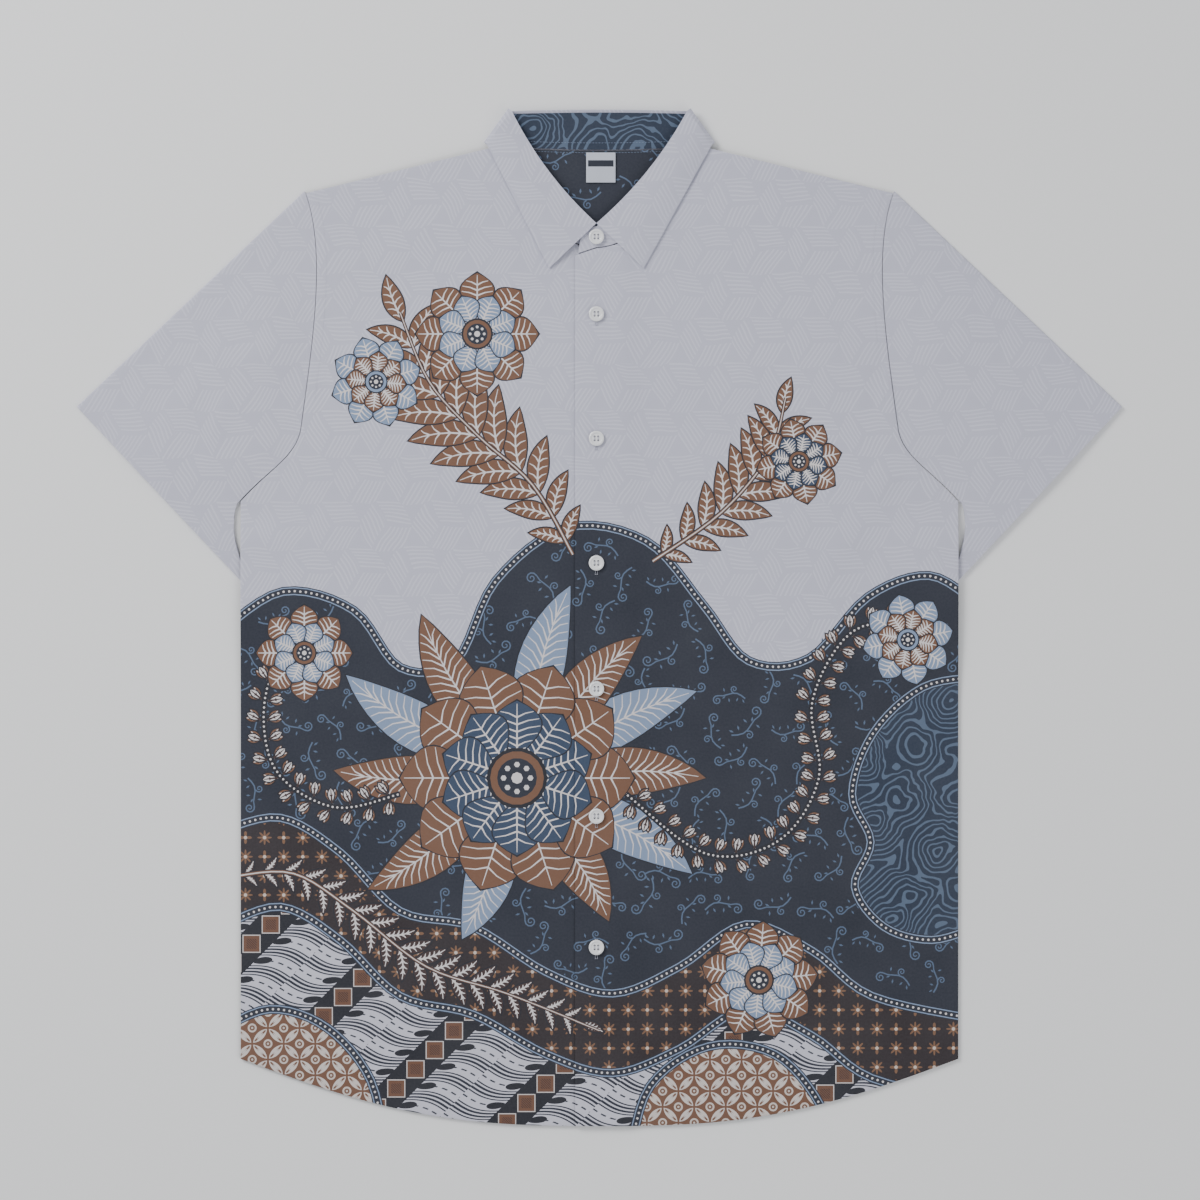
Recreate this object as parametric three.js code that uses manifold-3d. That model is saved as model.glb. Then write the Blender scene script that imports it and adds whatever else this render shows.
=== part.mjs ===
// A short-sleeved batik shirt, buttoned up and laid out flat, face up.
//
// The back lies underneath. The two fronts lie on it, and the wearer's left front (+X) laps over the right.
// Each sleeve is a flattened tube whose lower corner is tucked under the body. The collar is a stand with a
// fall turned down over it: both go right round the neck, in front above the fronts and behind below the back.
// Every cloth piece is a wall of even thickness through a grid of points on its middle surface.
// Units are millimetres, +Z is up, +Y points from the hem to the collar. The origin ends up under the middle.
import * as THREE from "three";
import { mergeVertices } from "three/addons/utils/BufferGeometryUtils.js";
import Module from "manifold-3d";

const wasm = await Module();
wasm.setup();

// Cloth
const CLOTH = 1.0; // thickness of every cloth wall
const AIR = 0.7; // between two layers that lie on each other
const SEAM = 0.5; // between two pieces that are sewn edge to edge

// Body, measured laid flat, from the middle of the back and from the lowest point of the hem
const HALF_CHEST = 270;
const HEM_RISE = 50.5; // how much higher the curved hem is at the side seams
const UNDERARM_Y = 470;
const SHOULDER = { x: 221, y: 702 }; // where the shoulder seam meets the armhole
const NECK = { x: 77.6, y: 737 }; // where the shoulder seam meets the collar
const BACK_NECK_Y = 734;

// Front opening
const BUTTON_LINE_X = -2.3;
const LAP = 16; // how far each front runs past the button line
const LAP_TOP_Y = 655;
const FRONT_NECK_Y = 660.5; // the neck seam on the button line

// Armhole: a long upper curve and a short lower one that sweeps out to the underarm
const NOTCH = { x: 224, y: 528 };

// Sleeves
const CUFF_TOP = { x: 392, y: 540 };
const CUFF_UNDER = { x: 260.5, y: 400.5 }; // this corner is under the body
const SLEEVE_LOFT = 3;
const TUCK_LIFT = 3.3; // the body rides this high over the tucked sleeve corner

// Collar
const FOLD_END_Y = 679.2; // where the two leaves of the fall meet, on the button line
const FOLD_CORNER = { x: 66, y: 763.5 }; // where the fold turns from the front to the back
const FOLD_BOW = 5; // how far each front fold line bows outwards
const LEAF_CORNER = { x: 84.5, y: 738.5 };
const LEAF_TIP = { x: 35.5, y: 645.5, from: BUTTON_LINE_X };
const FALL_BACK_Y = 722; // the hidden edge of the fall, behind
const STAND_INSET = 2; // from the fold of the fall to the top edge of the stand
const NECK_LIFT = 1.8; // the back rides this high over the fall behind it
const FALL_Z = { front: 7.4, corner: 10.4, behind: 5.1 };
const STAND_Z = { under: 3.0, over: 5.6, corner: 8.5, behind: 6.8 };

const BODY_LOFT = 3; // of air between fronts and back, in the middle

// Buttons and label
const BUTTON = { radius: 5.7, thick: 2.2, rim: 1.1, dish: 0.7, hole: 0.85, spread: 1.35 };
const BUTTON_Y = [
  { name: "button_collar", y: 669 },
  { name: "button_1", y: 611 },
  { name: "button_2", y: 517.3 },
  { name: "button_3", y: 423.7 },
  { name: "button_4", y: 329.1 },
  { name: "button_5", y: 233.4 },
  { name: "button_6", y: 134.8 },
];
const BUTTON_SHANK = 0.5; // of thread between a button and the cloth
const LABEL = { width: 22, length: 22.5, x: 1, top: 732.5, thick: 1 };

const clothMaterial = (color) => new THREE.MeshStandardMaterial({ color, roughness: 0.85, metalness: 0 });
const PALE = clothMaterial(0xcfcde0);
const NAVY = clothMaterial(0x20283a);
const BLUE = clothMaterial(0x33475f);
const LABEL_CLOTH = clothMaterial(0xd9dce6);
const SHELL = new THREE.MeshStandardMaterial({ color: 0xf0eff2, roughness: 0.3, metalness: 0 });

// --- curves -------------------------------------------------------------------------------------------------

const point = (x, y) => new THREE.Vector2(x, y);
const line = (a, b) => new THREE.LineCurve(a, b);
const bend = (a, b, c, d) => new THREE.CubicBezierCurve(a, b, c, d);

// Curves joined end to end. Each entry is the share of the way at which its curve ends, and the curve.
function chain(...parts) {
  return (share) => {
    let start = 0;
    for (const [end, curve] of parts) {
      if (share <= end || end === 1) return curve.getPoint((share - start) / (end - start));
      start = end;
    }
  };
}

const rise = THREE.MathUtils.smoothstep; // 0 below the first limit, 1 above the second
const drop = (v, low, high) => 1 - rise(v, low, high);
const lerp = THREE.MathUtils.lerp;

function hemY(x) {
  const out = Math.abs(x) / HALF_CHEST;
  return HEM_RISE * out ** 3 * (2 - out);
}

// Shares of the way up at which the edges of a panel change direction.
const AT_UNDERARM = 0.6;
const AT_NOTCH = 0.72;
const AT_LAP_TOP = 0.85;
const AT_BUTTON_LINE = 0.88;
const UP_TO_UNDERARM = [0, 0.04, 0.09, 0.15, 0.22, 0.3, 0.38, 0.44, 0.49, 0.53, 0.565, AT_UNDERARM];
const UP_TO_NOTCH = [0.63, 0.66, 0.69, AT_NOTCH];
const UP_NECK = [AT_BUTTON_LINE, 0.904, 0.928, 0.952, 0.976, 1];
const UP_TO_SHOULDER = [0.76, 0.8, AT_LAP_TOP, ...UP_NECK];
const UP = [...UP_TO_UNDERARM, ...UP_TO_NOTCH, ...UP_TO_SHOULDER];
const within = (low, high) => (share) => (share - low) / (high - low);

const ARMHOLE_LOW = [point(HALF_CHEST, UNDERARM_Y), point(247, 496), point(226, 504), point(NOTCH.x, NOTCH.y)];
const ARMHOLE_HIGH = [
  point(NOTCH.x, NOTCH.y), point(214, 600), point(206, 660), point(SHOULDER.x, SHOULDER.y),
];

const mirrorPoint = (side) => (p) => point(side * p.x, p.y);

// The side seam and armhole, from the hem to the shoulder. side is 1 for +X and -1 for -X.
function sideEdge(side) {
  const turn = mirrorPoint(side);
  return chain(
    [AT_UNDERARM, line(point(side * HALF_CHEST, HEM_RISE), point(side * HALF_CHEST, UNDERARM_Y))],
    [AT_NOTCH, bend(...ARMHOLE_LOW.map(turn))],
    [1, bend(...ARMHOLE_HIGH.map(turn))],
  );
}

// The front neck seam from the button line to the shoulder seam.
function neckSeam(side) {
  return bend(
    point(BUTTON_LINE_X, FRONT_NECK_Y),
    point(BUTTON_LINE_X + side * 33, FRONT_NECK_Y + 1.5),
    point(side * 76, 703),
    point(side * NECK.x, NECK.y),
  );
}

// --- heights of the lower face of each layer ----------------------------------------------------------------

function backZ(x, y) {
  const neck = NECK_LIFT * rise(y, 620, 720) * drop(Math.abs(x), 92, 190);
  const tuck = TUCK_LIFT * rise(Math.abs(x), 190, 257) * rise(y, 310, 395) * drop(y, 436, 466);
  return neck + tuck;
}

function frontZ(x, y) {
  const inward = HALF_CHEST - Math.abs(x);
  const loft = BODY_LOFT * rise(inward, 0, 110) * rise(y, 20, 150) * drop(y, 540, 640);
  return backZ(x, y) + CLOTH + AIR + loft;
}

// The left front climbs over the edge of the right front.
function overZ(x, y) {
  return frontZ(x, y) + (CLOTH + AIR) * drop(x, BUTTON_LINE_X + LAP + 3, BUTTON_LINE_X + LAP + 22);
}

// --- walls --------------------------------------------------------------------------------------------------

// A closed wall through a grid of points on its middle surface. A ring grid joins its last column to its first.
function wall(grid, thick, ring = false) {
  const rows = grid.length;
  const cols = grid[0].length;
  const at = (i, j) => grid[THREE.MathUtils.clamp(i, 0, rows - 1)][
    ring ? (j + cols) % cols : THREE.MathUtils.clamp(j, 0, cols - 1)
  ];
  const places = [];
  for (const side of [0.5, -0.5]) {
    for (let i = 0; i < rows; i++) {
      for (let j = 0; j < cols; j++) {
        const along = at(i + 1, j).clone().sub(at(i - 1, j));
        const across = at(i, j + 1).clone().sub(at(i, j - 1));
        const normal = across.cross(along).normalize();
        places.push(at(i, j).clone().addScaledVector(normal, side * thick));
      }
    }
  }
  const upper = (i, j) => i * cols + (j % cols);
  const lower = (i, j) => rows * cols + upper(i, j);
  const index = [];
  const quad = (a, b, c, d) => index.push(a, b, c, a, c, d);
  const lastCol = ring ? cols : cols - 1;
  for (let i = 0; i < rows - 1; i++) {
    for (let j = 0; j < lastCol; j++) {
      quad(upper(i, j), upper(i, j + 1), upper(i + 1, j + 1), upper(i + 1, j));
      quad(lower(i, j), lower(i + 1, j), lower(i + 1, j + 1), lower(i, j + 1));
    }
    if (!ring) {
      quad(lower(i + 1, 0), lower(i, 0), upper(i, 0), upper(i + 1, 0));
      quad(lower(i, cols - 1), lower(i + 1, cols - 1), upper(i + 1, cols - 1), upper(i, cols - 1));
    }
  }
  for (let j = 0; j < lastCol; j++) {
    quad(lower(0, j), lower(0, j + 1), upper(0, j + 1), upper(0, j));
    quad(lower(rows - 1, j + 1), lower(rows - 1, j), upper(rows - 1, j), upper(rows - 1, j + 1));
  }
  const geometry = new THREE.BufferGeometry();
  geometry.setFromPoints(places);
  geometry.setIndex(index);
  geometry.computeVertexNormals();
  return geometry;
}

// A grid over four edges. bottom and top run from left to right, left and right run from bottom to top.
function patch(bottom, top, left, right, across, up) {
  const mix = (a, b, share) => a.clone().lerp(b, share);
  return up.map((t) => across.map((q) => {
    const betweenSides = mix(left(t), right(t), q);
    const betweenEnds = mix(bottom(q), top(q), t);
    const corners = mix(mix(bottom(0), bottom(1), q), mix(top(0), top(1), q), t);
    return betweenSides.add(betweenEnds).sub(corners);
  }));
}

// A panel lying at the height that lowerZ gives.
function panel(grid, lowerZ) {
  return wall(grid.map((row) => row.map((p) => new THREE.Vector3(p.x, p.y, lowerZ(p.x, p.y) + CLOTH / 2))), CLOTH);
}

// --- pieces -------------------------------------------------------------------------------------------------

function back() {
  const hem = (q) => point(lerp(-HALF_CHEST, HALF_CHEST, q), hemY(lerp(-HALF_CHEST, HALF_CHEST, q)));
  const neckShare = 0.32;
  const top = chain(
    [neckShare, line(point(-SHOULDER.x, SHOULDER.y), point(-NECK.x, NECK.y))],
    [1 - neckShare, bend(
      point(-NECK.x, NECK.y), point(-NECK.x / 2, BACK_NECK_Y - 1), point(NECK.x / 2, BACK_NECK_Y - 1),
      point(NECK.x, NECK.y),
    )],
    [1, line(point(NECK.x, NECK.y), point(SHOULDER.x, SHOULDER.y))],
  );
  const across = [
    0, 0.02, 0.045, 0.08, 0.13, 0.19, 0.26, neckShare, 0.38, 0.44, 0.5,
    0.56, 0.62, 1 - neckShare, 0.74, 0.81, 0.87, 0.92, 0.955, 0.98, 1,
  ];
  return panel(patch(hem, top, sideEdge(-1), sideEdge(1), across, UP), backZ);
}

// A front, from its own edge of the opening to the side seam. The left one, on +X, is on top.
function front(side) {
  const edgeX = BUTTON_LINE_X - side * LAP;
  const hem = (q) => point(lerp(edgeX, side * HALF_CHEST, q), hemY(lerp(edgeX, side * HALF_CHEST, q)));
  const opening = chain(
    [AT_LAP_TOP, line(point(edgeX, hemY(edgeX)), point(edgeX, LAP_TOP_Y))],
    [AT_BUTTON_LINE, line(point(edgeX, LAP_TOP_Y), point(BUTTON_LINE_X, FRONT_NECK_Y))],
    [1, neckSeam(side)],
  );
  const shoulder = (q) => point(lerp(side * NECK.x, side * SHOULDER.x, q), lerp(NECK.y, SHOULDER.y, q));
  const across = [0, 0.06, 0.125, 0.16, 0.195, 0.27, 0.36, 0.46, 0.57, 0.68, 0.79, 0.87, 0.92, 0.96, 1];
  return panel(patch(hem, shoulder, opening, sideEdge(side), across, UP), side > 0 ? overZ : frontZ);
}

// A flattened tube: rings from the armhole to the cuff, each over the upper layer and back under it.
function sleeve(side) {
  const place = (p) => point(side * (p.x + SEAM), p.y + 0.7 * SEAM);
  const pit = { x: HALF_CHEST + SEAM, y: UNDERARM_Y };
  const highShare = 0.7; // of the armhole is its upper curve
  const armhole = chain(
    [highShare, bend(...ARMHOLE_HIGH.slice().reverse().map(place))],
    [1, bend(...ARMHOLE_LOW.slice(1).reverse().map(place), place(pit))],
  );
  const cuffLine = line(place(CUFF_TOP), place(CUFF_UNDER));
  const cuff = chain(
    [highShare, line(cuffLine.getPoint(0), cuffLine.getPoint(0.5))],
    [1, line(cuffLine.getPoint(0.5), cuffLine.getPoint(1))],
  );
  const fold = line(place(SHOULDER), place(CUFF_TOP));
  // The underarm fold swings out past the body's edge before it runs under it.
  const underarm = bend(
    place(pit), place({ x: HALF_CHEST + 11, y: UNDERARM_Y }),
    place({ x: HALF_CHEST + 6, y: UNDERARM_Y - 36 }), place(CUFF_UNDER),
  );
  // The sleeve has its points where the body has them, so the two follow each other along the seam.
  const across = [
    0,
    ...UP_TO_SHOULDER.slice(0, -1).reverse().map((u) => highShare * (1 - within(AT_NOTCH, 1)(u))),
    highShare,
    ...UP_TO_NOTCH.slice(0, -1).reverse().map((u) => 1 - (1 - highShare) * within(AT_UNDERARM, AT_NOTCH)(u)),
    1,
  ];
  const along = [0, 0.05, 0.12, 0.22, 0.34, 0.48, 0.62, 0.76, 0.9, 1];
  const flat = patch(armhole, cuff, (t) => fold.getPoint(t), (t) => underarm.getPoint(t), across, along);
  const lowMiddle = CLOTH / 2;
  const highMiddle = 1.5 * CLOTH + AIR;
  const turnRadius = (highMiddle - lowMiddle) / 2;
  const outward = (a, b) => b.clone().sub(a).normalize().multiplyScalar(turnRadius);
  const rings = flat.map((row, i) => {
    const share = along[i];
    const open = rise(share, 0, 0.3) * lerp(1, 0.6, share);
    const high = row.map((p, j) => {
      const loft = SLEEVE_LOFT * open * Math.sin(Math.PI * across[j]) ** 2;
      return new THREE.Vector3(p.x, p.y, highMiddle + loft);
    });
    const low = row.map((p) => new THREE.Vector3(p.x, p.y, lowMiddle)).reverse();
    const last = row.length - 1;
    const turnAt = (edge, inner) => {
      const p = edge.clone().add(outward(inner, edge));
      return new THREE.Vector3(p.x, p.y, (highMiddle + lowMiddle) / 2);
    };
    return [...high, turnAt(row[last], row[last - 1]), ...low, turnAt(row[0], row[1])];
  });
  return wall(rings, CLOTH, true);
}

// The line along which the fall turns down at one side of the front, from the button line to the corner.
function foldLine(side) {
  const start = point(BUTTON_LINE_X, FOLD_END_Y);
  const end = point(side * FOLD_CORNER.x, FOLD_CORNER.y);
  const across = end.clone().sub(start).normalize();
  const control = start.clone().lerp(end, 0.5).add(point(side * across.y, -side * across.x).multiplyScalar(2 * FOLD_BOW));
  return new THREE.QuadraticBezierCurve(start, control, end);
}

// Sections that carry a band round a corner, from its upper layer to its lower one. Each end of the corner line
// has its own place and its own two heights.
function turnSections(ends, steps) {
  const away = ends.far.at.clone().sub(ends.near.at).normalize();
  const outward = point(-away.y, away.x);
  if (outward.x * ends.near.at.x < 0) outward.negate();
  return Array.from({ length: steps }, (_, k) => {
    const angle = (Math.PI * (k + 1)) / (steps + 1);
    const [near, far] = [ends.near, ends.far].map(({ at, high, low }) => {
      const radius = (high - low) / 2;
      const p = at.clone().addScaledVector(outward, radius * Math.sin(angle));
      return new THREE.Vector3(p.x, p.y, (high + low) / 2 + radius * Math.cos(angle));
    });
    return { near, far };
  });
}

// A band whose sections each run from a near point to a far one; shape says how its height falls between them.
function bandGrid(sections, across) {
  return sections.map(({ near, far, shape }) => across.map((w) => {
    const p = near.clone().lerp(far, w);
    if (shape) p.z = shape(w, p);
    return p;
  }));
}

const spaced = (count) => Array.from({ length: count + 1 }, (_, i) => i / count);

function collarFall() {
  const across = [0, 0.08, 0.2, 0.36, 0.55, 0.75, 0.9, 1];
  const topUnder = (x, y) => (x > BUTTON_LINE_X - LAP ? overZ(x, y) : frontZ(x, y)) + CLOTH;
  const leaf = (side) => spaced(9).map((t) => {
    const near = foldLine(side).getPoint(t);
    const tip = point(LEAF_TIP.from + side * LEAF_TIP.x, LEAF_TIP.y);
    const far = tip.lerp(point(side * LEAF_CORNER.x, LEAF_CORNER.y), t);
    const nearZ = lerp(FALL_Z.front, FALL_Z.corner, t);
    const restZ = (x, y) => topUnder(x, y) + AIR + 0.2 + CLOTH / 2;
    const farZ = restZ(far.x, far.y);
    return {
      near: new THREE.Vector3(near.x, near.y, nearZ),
      far: new THREE.Vector3(far.x, far.y, farZ),
      shape: (w, p) => Math.max(farZ + (nearZ - farZ) * (1 - w ** 2.4), restZ(p.x, p.y)),
    };
  });
  const corner = (side) => turnSections({
    near: { at: point(side * FOLD_CORNER.x, FOLD_CORNER.y), high: FALL_Z.corner, low: FALL_Z.behind },
    far: {
      at: point(side * LEAF_CORNER.x, LEAF_CORNER.y),
      high: topUnder(side * LEAF_CORNER.x, LEAF_CORNER.y) + SEAM + CLOTH / 2,
      low: CLOTH / 2,
    },
  }, 4);
  const behind = spaced(12).map((t) => {
    const x = lerp(-1, 1, t);
    const near = new THREE.Vector3(x * FOLD_CORNER.x, FOLD_CORNER.y + 1.2 * (1 - x * x), FALL_Z.behind);
    const dip = (LEAF_CORNER.y - FALL_BACK_Y) * (1 - x ** 4);
    const far = new THREE.Vector3(x * LEAF_CORNER.x, LEAF_CORNER.y - dip, CLOTH / 2);
    const settle = 0.6; // the share of its depth at which the fall reaches the table
    return { near, far, shape: (w) => far.z + (near.z - far.z) * Math.max(0, 1 - w / settle) };
  });
  const sections = [
    ...leaf(-1), ...corner(-1), ...behind, ...corner(1).reverse(), ...leaf(1).reverse(),
  ];
  return wall(bandGrid(sections, across), CLOTH);
}

function collarStand() {
  const across = [0, 0.12, 0.35, 0.6, 0.85, 1];
  // near is on the fold, far on the neck seam; both ends are drawn in a little to clear what they meet.
  const section = (fold, seam, foldZ, seamZ) => {
    const inward = seam.clone().sub(fold).normalize();
    const near = fold.clone().addScaledVector(inward, STAND_INSET);
    const far = seam.clone().addScaledVector(inward, -1.6 * SEAM);
    return {
      near: new THREE.Vector3(near.x, near.y, foldZ),
      far: new THREE.Vector3(far.x, far.y, seamZ),
    };
  };
  const frontHalf = (side) => {
    const levelZ = (p) => (side > 0 ? overZ(p.x, p.y) : frontZ(p.x, p.y)) + CLOTH / 2;
    const frontFoldZ = side > 0 ? STAND_Z.over : STAND_Z.under;
    const lapped = [1, 0.5].map((share) => {
      const x = BUTTON_LINE_X - side * share * (LAP - 2);
      const seam = point(x, lerp(FRONT_NECK_Y, LAP_TOP_Y + 1, share));
      const fold = point(x + side * 2.5 * share, lerp(FOLD_END_Y, FOLD_END_Y - 8, share * share));
      return section(fold, seam, frontFoldZ, levelZ(seam));
    });
    const round = UP_NECK.map(within(AT_BUTTON_LINE, 1)).map((t) => {
      const seam = neckSeam(side).getPoint(t);
      return section(foldLine(side).getPoint(t), seam, lerp(frontFoldZ, STAND_Z.corner, t), levelZ(seam));
    });
    return [...lapped, ...round];
  };
  const behind = spaced(12).map((t) => {
    const x = lerp(-1, 1, t);
    const fold = point(x * FOLD_CORNER.x, FOLD_CORNER.y + 1.2 * (1 - x * x));
    const seam = point(x * NECK.x, lerp(BACK_NECK_Y, NECK.y, x * x));
    return section(fold, seam, STAND_Z.behind, NECK_LIFT + CLOTH / 2);
  });
  const corner = (side, last, first) => turnSections({
    near: { at: point(last.near.x, last.near.y), high: last.near.z, low: first.near.z },
    far: { at: point(last.far.x, last.far.y), high: last.far.z, low: first.far.z },
  }, 3);
  const right = frontHalf(-1);
  const left = frontHalf(1);
  const sections = [
    ...right,
    ...corner(-1, right.at(-1), behind[0]),
    ...behind,
    ...corner(1, left.at(-1), behind.at(-1)).reverse(),
    ...left.reverse(),
  ];
  return wall(bandGrid(sections, across), CLOTH);
}

function solidOf(geometry) {
  const bare = new THREE.BufferGeometry().setAttribute("position", geometry.getAttribute("position"));
  bare.setIndex(geometry.index);
  const merged = mergeVertices(bare, 1e-4);
  return new wasm.Manifold(new wasm.Mesh({
    numProp: 3,
    vertProperties: merged.attributes.position.array,
    triVerts: new Uint32Array(merged.index.array),
  }));
}

// A round button with a raised rim, a dished middle and four holes.
function button() {
  const { radius, thick, rim, dish, hole, spread } = BUTTON;
  const profile = [
    [0, 0], [radius - 0.7, 0], [radius, 0.7], [radius, thick],
    [radius - rim, thick], [radius - rim - 0.7, thick - dish], [0, thick - dish],
  ].map(([r, z]) => point(r, z));
  const disc = new THREE.LatheGeometry(profile, 20).rotateX(Math.PI / 2);
  const drill = (x, y) => new THREE.CylinderGeometry(hole, hole, 3 * thick, 8)
    .rotateX(Math.PI / 2).translate(x * spread, y * spread, 0);
  let solid = solidOf(disc);
  for (const [x, y] of [[1, 1], [-1, 1], [-1, -1], [1, -1]]) solid = solid.subtract(solidOf(drill(x, y)));
  const mesh = solid.getMesh();
  const geometry = new THREE.BufferGeometry();
  geometry.setAttribute("position", new THREE.BufferAttribute(mesh.vertProperties.slice(), 3));
  geometry.setIndex(new THREE.BufferAttribute(mesh.triVerts.slice(), 1));
  geometry.computeVertexNormals();
  return geometry;
}

// --- the shirt ----------------------------------------------------------------------------------------------

const shirt = new THREE.Group();

function add(name, geometry, material, place = [0, 0, 0]) {
  const mesh = new THREE.Mesh(geometry, material);
  mesh.name = name;
  mesh.position.set(...place);
  shirt.add(mesh);
}

add("back", back(), NAVY);
add("front_right", front(-1), PALE);
add("front_left", front(1), PALE);
add("sleeve_right", sleeve(-1), PALE);
add("sleeve_left", sleeve(1), PALE);
add("collar_stand", collarStand(), BLUE);
add("collar_fall", collarFall(), PALE);

const labelZ = backZ(LABEL.x, LABEL.top) + CLOTH + SEAM + LABEL.thick / 2;
add(
  "neck_label",
  new THREE.BoxGeometry(LABEL.width, LABEL.length, LABEL.thick),
  LABEL_CLOTH,
  [LABEL.x, LABEL.top - LABEL.length / 2, labelZ],
);

for (const { name, y } of BUTTON_Y) {
  const onStand = name === "button_collar";
  const edges = [y - BUTTON.radius, y + BUTTON.radius];
  const clothZ = onStand ? STAND_Z.over - CLOTH / 2 : Math.max(...edges.map((edge) => overZ(BUTTON_LINE_X, edge)));
  add(name, button(), SHELL, [BUTTON_LINE_X, y, clothZ + CLOTH + BUTTON_SHANK]);
}

// The origin goes under the middle of the whole shirt, on the table.
const box = new THREE.Box3().setFromObject(shirt);
const middle = box.getCenter(new THREE.Vector3());
for (const mesh of shirt.children) {
  mesh.position.x -= middle.x;
  mesh.position.y -= middle.y;
}

export default shirt;
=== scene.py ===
import math
import random

import bpy
import numpy as np
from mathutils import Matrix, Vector
from mathutils.geometry import delaunay_2d_cdt


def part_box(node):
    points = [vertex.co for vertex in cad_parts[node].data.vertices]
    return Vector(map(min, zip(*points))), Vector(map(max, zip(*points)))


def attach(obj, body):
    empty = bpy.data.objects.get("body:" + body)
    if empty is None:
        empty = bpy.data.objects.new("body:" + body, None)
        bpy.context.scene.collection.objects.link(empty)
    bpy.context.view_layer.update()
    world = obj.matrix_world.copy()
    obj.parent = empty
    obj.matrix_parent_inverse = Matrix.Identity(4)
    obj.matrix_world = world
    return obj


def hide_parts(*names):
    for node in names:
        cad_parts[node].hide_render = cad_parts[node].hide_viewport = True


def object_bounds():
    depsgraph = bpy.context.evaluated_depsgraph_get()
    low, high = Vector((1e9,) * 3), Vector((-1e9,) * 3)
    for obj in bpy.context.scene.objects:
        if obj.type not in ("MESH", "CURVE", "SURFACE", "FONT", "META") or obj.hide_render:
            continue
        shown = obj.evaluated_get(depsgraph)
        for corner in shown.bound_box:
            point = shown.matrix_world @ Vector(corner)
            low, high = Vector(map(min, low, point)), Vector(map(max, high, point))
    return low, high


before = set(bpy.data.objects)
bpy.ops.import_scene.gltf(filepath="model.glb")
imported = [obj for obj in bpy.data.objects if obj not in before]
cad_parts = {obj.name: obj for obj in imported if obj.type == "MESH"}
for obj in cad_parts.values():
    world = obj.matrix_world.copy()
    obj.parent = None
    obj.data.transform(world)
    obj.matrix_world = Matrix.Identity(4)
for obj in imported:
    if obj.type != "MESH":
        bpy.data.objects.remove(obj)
cad_low, cad_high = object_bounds()

# Camera, table and light.
# The shirt is seen from straight above, lying on a white table under a large soft light from above its left
# shoulder, with fill from all round.
VIEW_WIDTH = 0.9037  # of the table, across the picture
CAMERA_HEIGHT = 4.0

camera_data = bpy.data.cameras.new("camera")
camera_data.sensor_width = 36
camera_data.lens = camera_data.sensor_width * CAMERA_HEIGHT / VIEW_WIDTH
camera_data.clip_end = 20
camera = bpy.data.objects.new("camera", camera_data)
camera.location = (0.0004, 0.0132, CAMERA_HEIGHT)
bpy.context.collection.objects.link(camera)
bpy.context.scene.camera = camera


def linear(red, green, blue):
    """A colour given in the 0 to 255 of a paint chart, as a shader wants it."""
    parts = [value / 255 for value in (red, green, blue)]
    return tuple(p / 12.92 if p <= 0.04045 else ((p + 0.055) / 1.055) ** 2.4 for p in parts) + (1.0,)


class Wire:
    """A node's output that takes part in sums. Each operator adds the Math node that does it."""

    def __init__(self, recipe, socket):
        self.recipe = recipe
        self.socket = socket

    def math(self, operation, *values):
        return self.recipe.node("ShaderNodeMath", {"operation": operation}, dict(enumerate(values)))

    def __add__(self, other):
        return self.math("ADD", self, other)

    def __radd__(self, other):
        return self.math("ADD", other, self)

    def __sub__(self, other):
        return self.math("SUBTRACT", self, other)

    def __rsub__(self, other):
        return self.math("SUBTRACT", other, self)

    def __mul__(self, other):
        return self.math("MULTIPLY", self, other)

    def __rmul__(self, other):
        return self.math("MULTIPLY", other, self)

    def __truediv__(self, other):
        return self.math("DIVIDE", self, other)

    def __rtruediv__(self, other):
        return self.math("DIVIDE", other, self)

    def __lt__(self, other):
        return self.math("LESS_THAN", self, other)

    def __gt__(self, other):
        return self.math("GREATER_THAN", self, other)

    def __abs__(self):
        return self.math("ABSOLUTE", self)

    def fract(self):
        return self.math("FRACT", self)

    def round(self):
        return self.math("ROUND", self)

    def floor(self):
        return self.math("FLOOR", self)

    def sin(self):
        return self.math("SINE", self)

    def cos(self):
        return self.math("COSINE", self)

    def either(self, other):
        return self.math("MAXIMUM", self, other)


class Recipe:
    """A material's nodes."""

    def __init__(self, name):
        self.material = bpy.data.materials.new(name)
        self.material.use_nodes = True
        self.tree = self.material.node_tree
        self.tree.nodes.clear()

    def node(self, kind, settings=None, sockets=None, output=0):
        made = self.tree.nodes.new(kind)
        for key, value in (settings or {}).items():
            setattr(made, key, value)
        for key, value in (sockets or {}).items():
            if isinstance(value, Wire):
                self.tree.links.new(value.socket, made.inputs[key])
            else:
                made.inputs[key].default_value = value
        return Wire(self, made.outputs[output])

    def mix(self, factor, first, second):
        return self.node("ShaderNodeMix", {"data_type": "RGBA"}, {0: factor, 6: first, 7: second}, output=2)

    def place(self):
        """The point on the piece, in millimetres, as x, y and z."""
        point = self.node("ShaderNodeTexCoord", output="Object")
        split = self.node("ShaderNodeSeparateXYZ", sockets={0: point}).socket.node
        return [Wire(self, socket) * 1000 for socket in split.outputs]

    def vector(self, x, y, z=0.0):
        return self.node("ShaderNodeCombineXYZ", sockets={0: x, 1: y, 2: z})

    def noise(self, where, scale, detail=2.0):
        return self.node("ShaderNodeTexNoise", sockets={"Vector": where, "Scale": scale, "Detail": detail})

    def finish(self, sockets, bump=None, distance=0.0001):
        if bump is not None:
            sockets["Normal"] = self.node("ShaderNodeBump", sockets={"Height": bump, "Distance": distance})
        shader = self.node("ShaderNodeBsdfPrincipled", sockets=sockets)
        self.node_output(shader)
        return self.material

    def node_output(self, shader):
        output = self.tree.nodes.new("ShaderNodeOutputMaterial")
        self.tree.links.new(shader.socket, output.inputs["Surface"])


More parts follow.
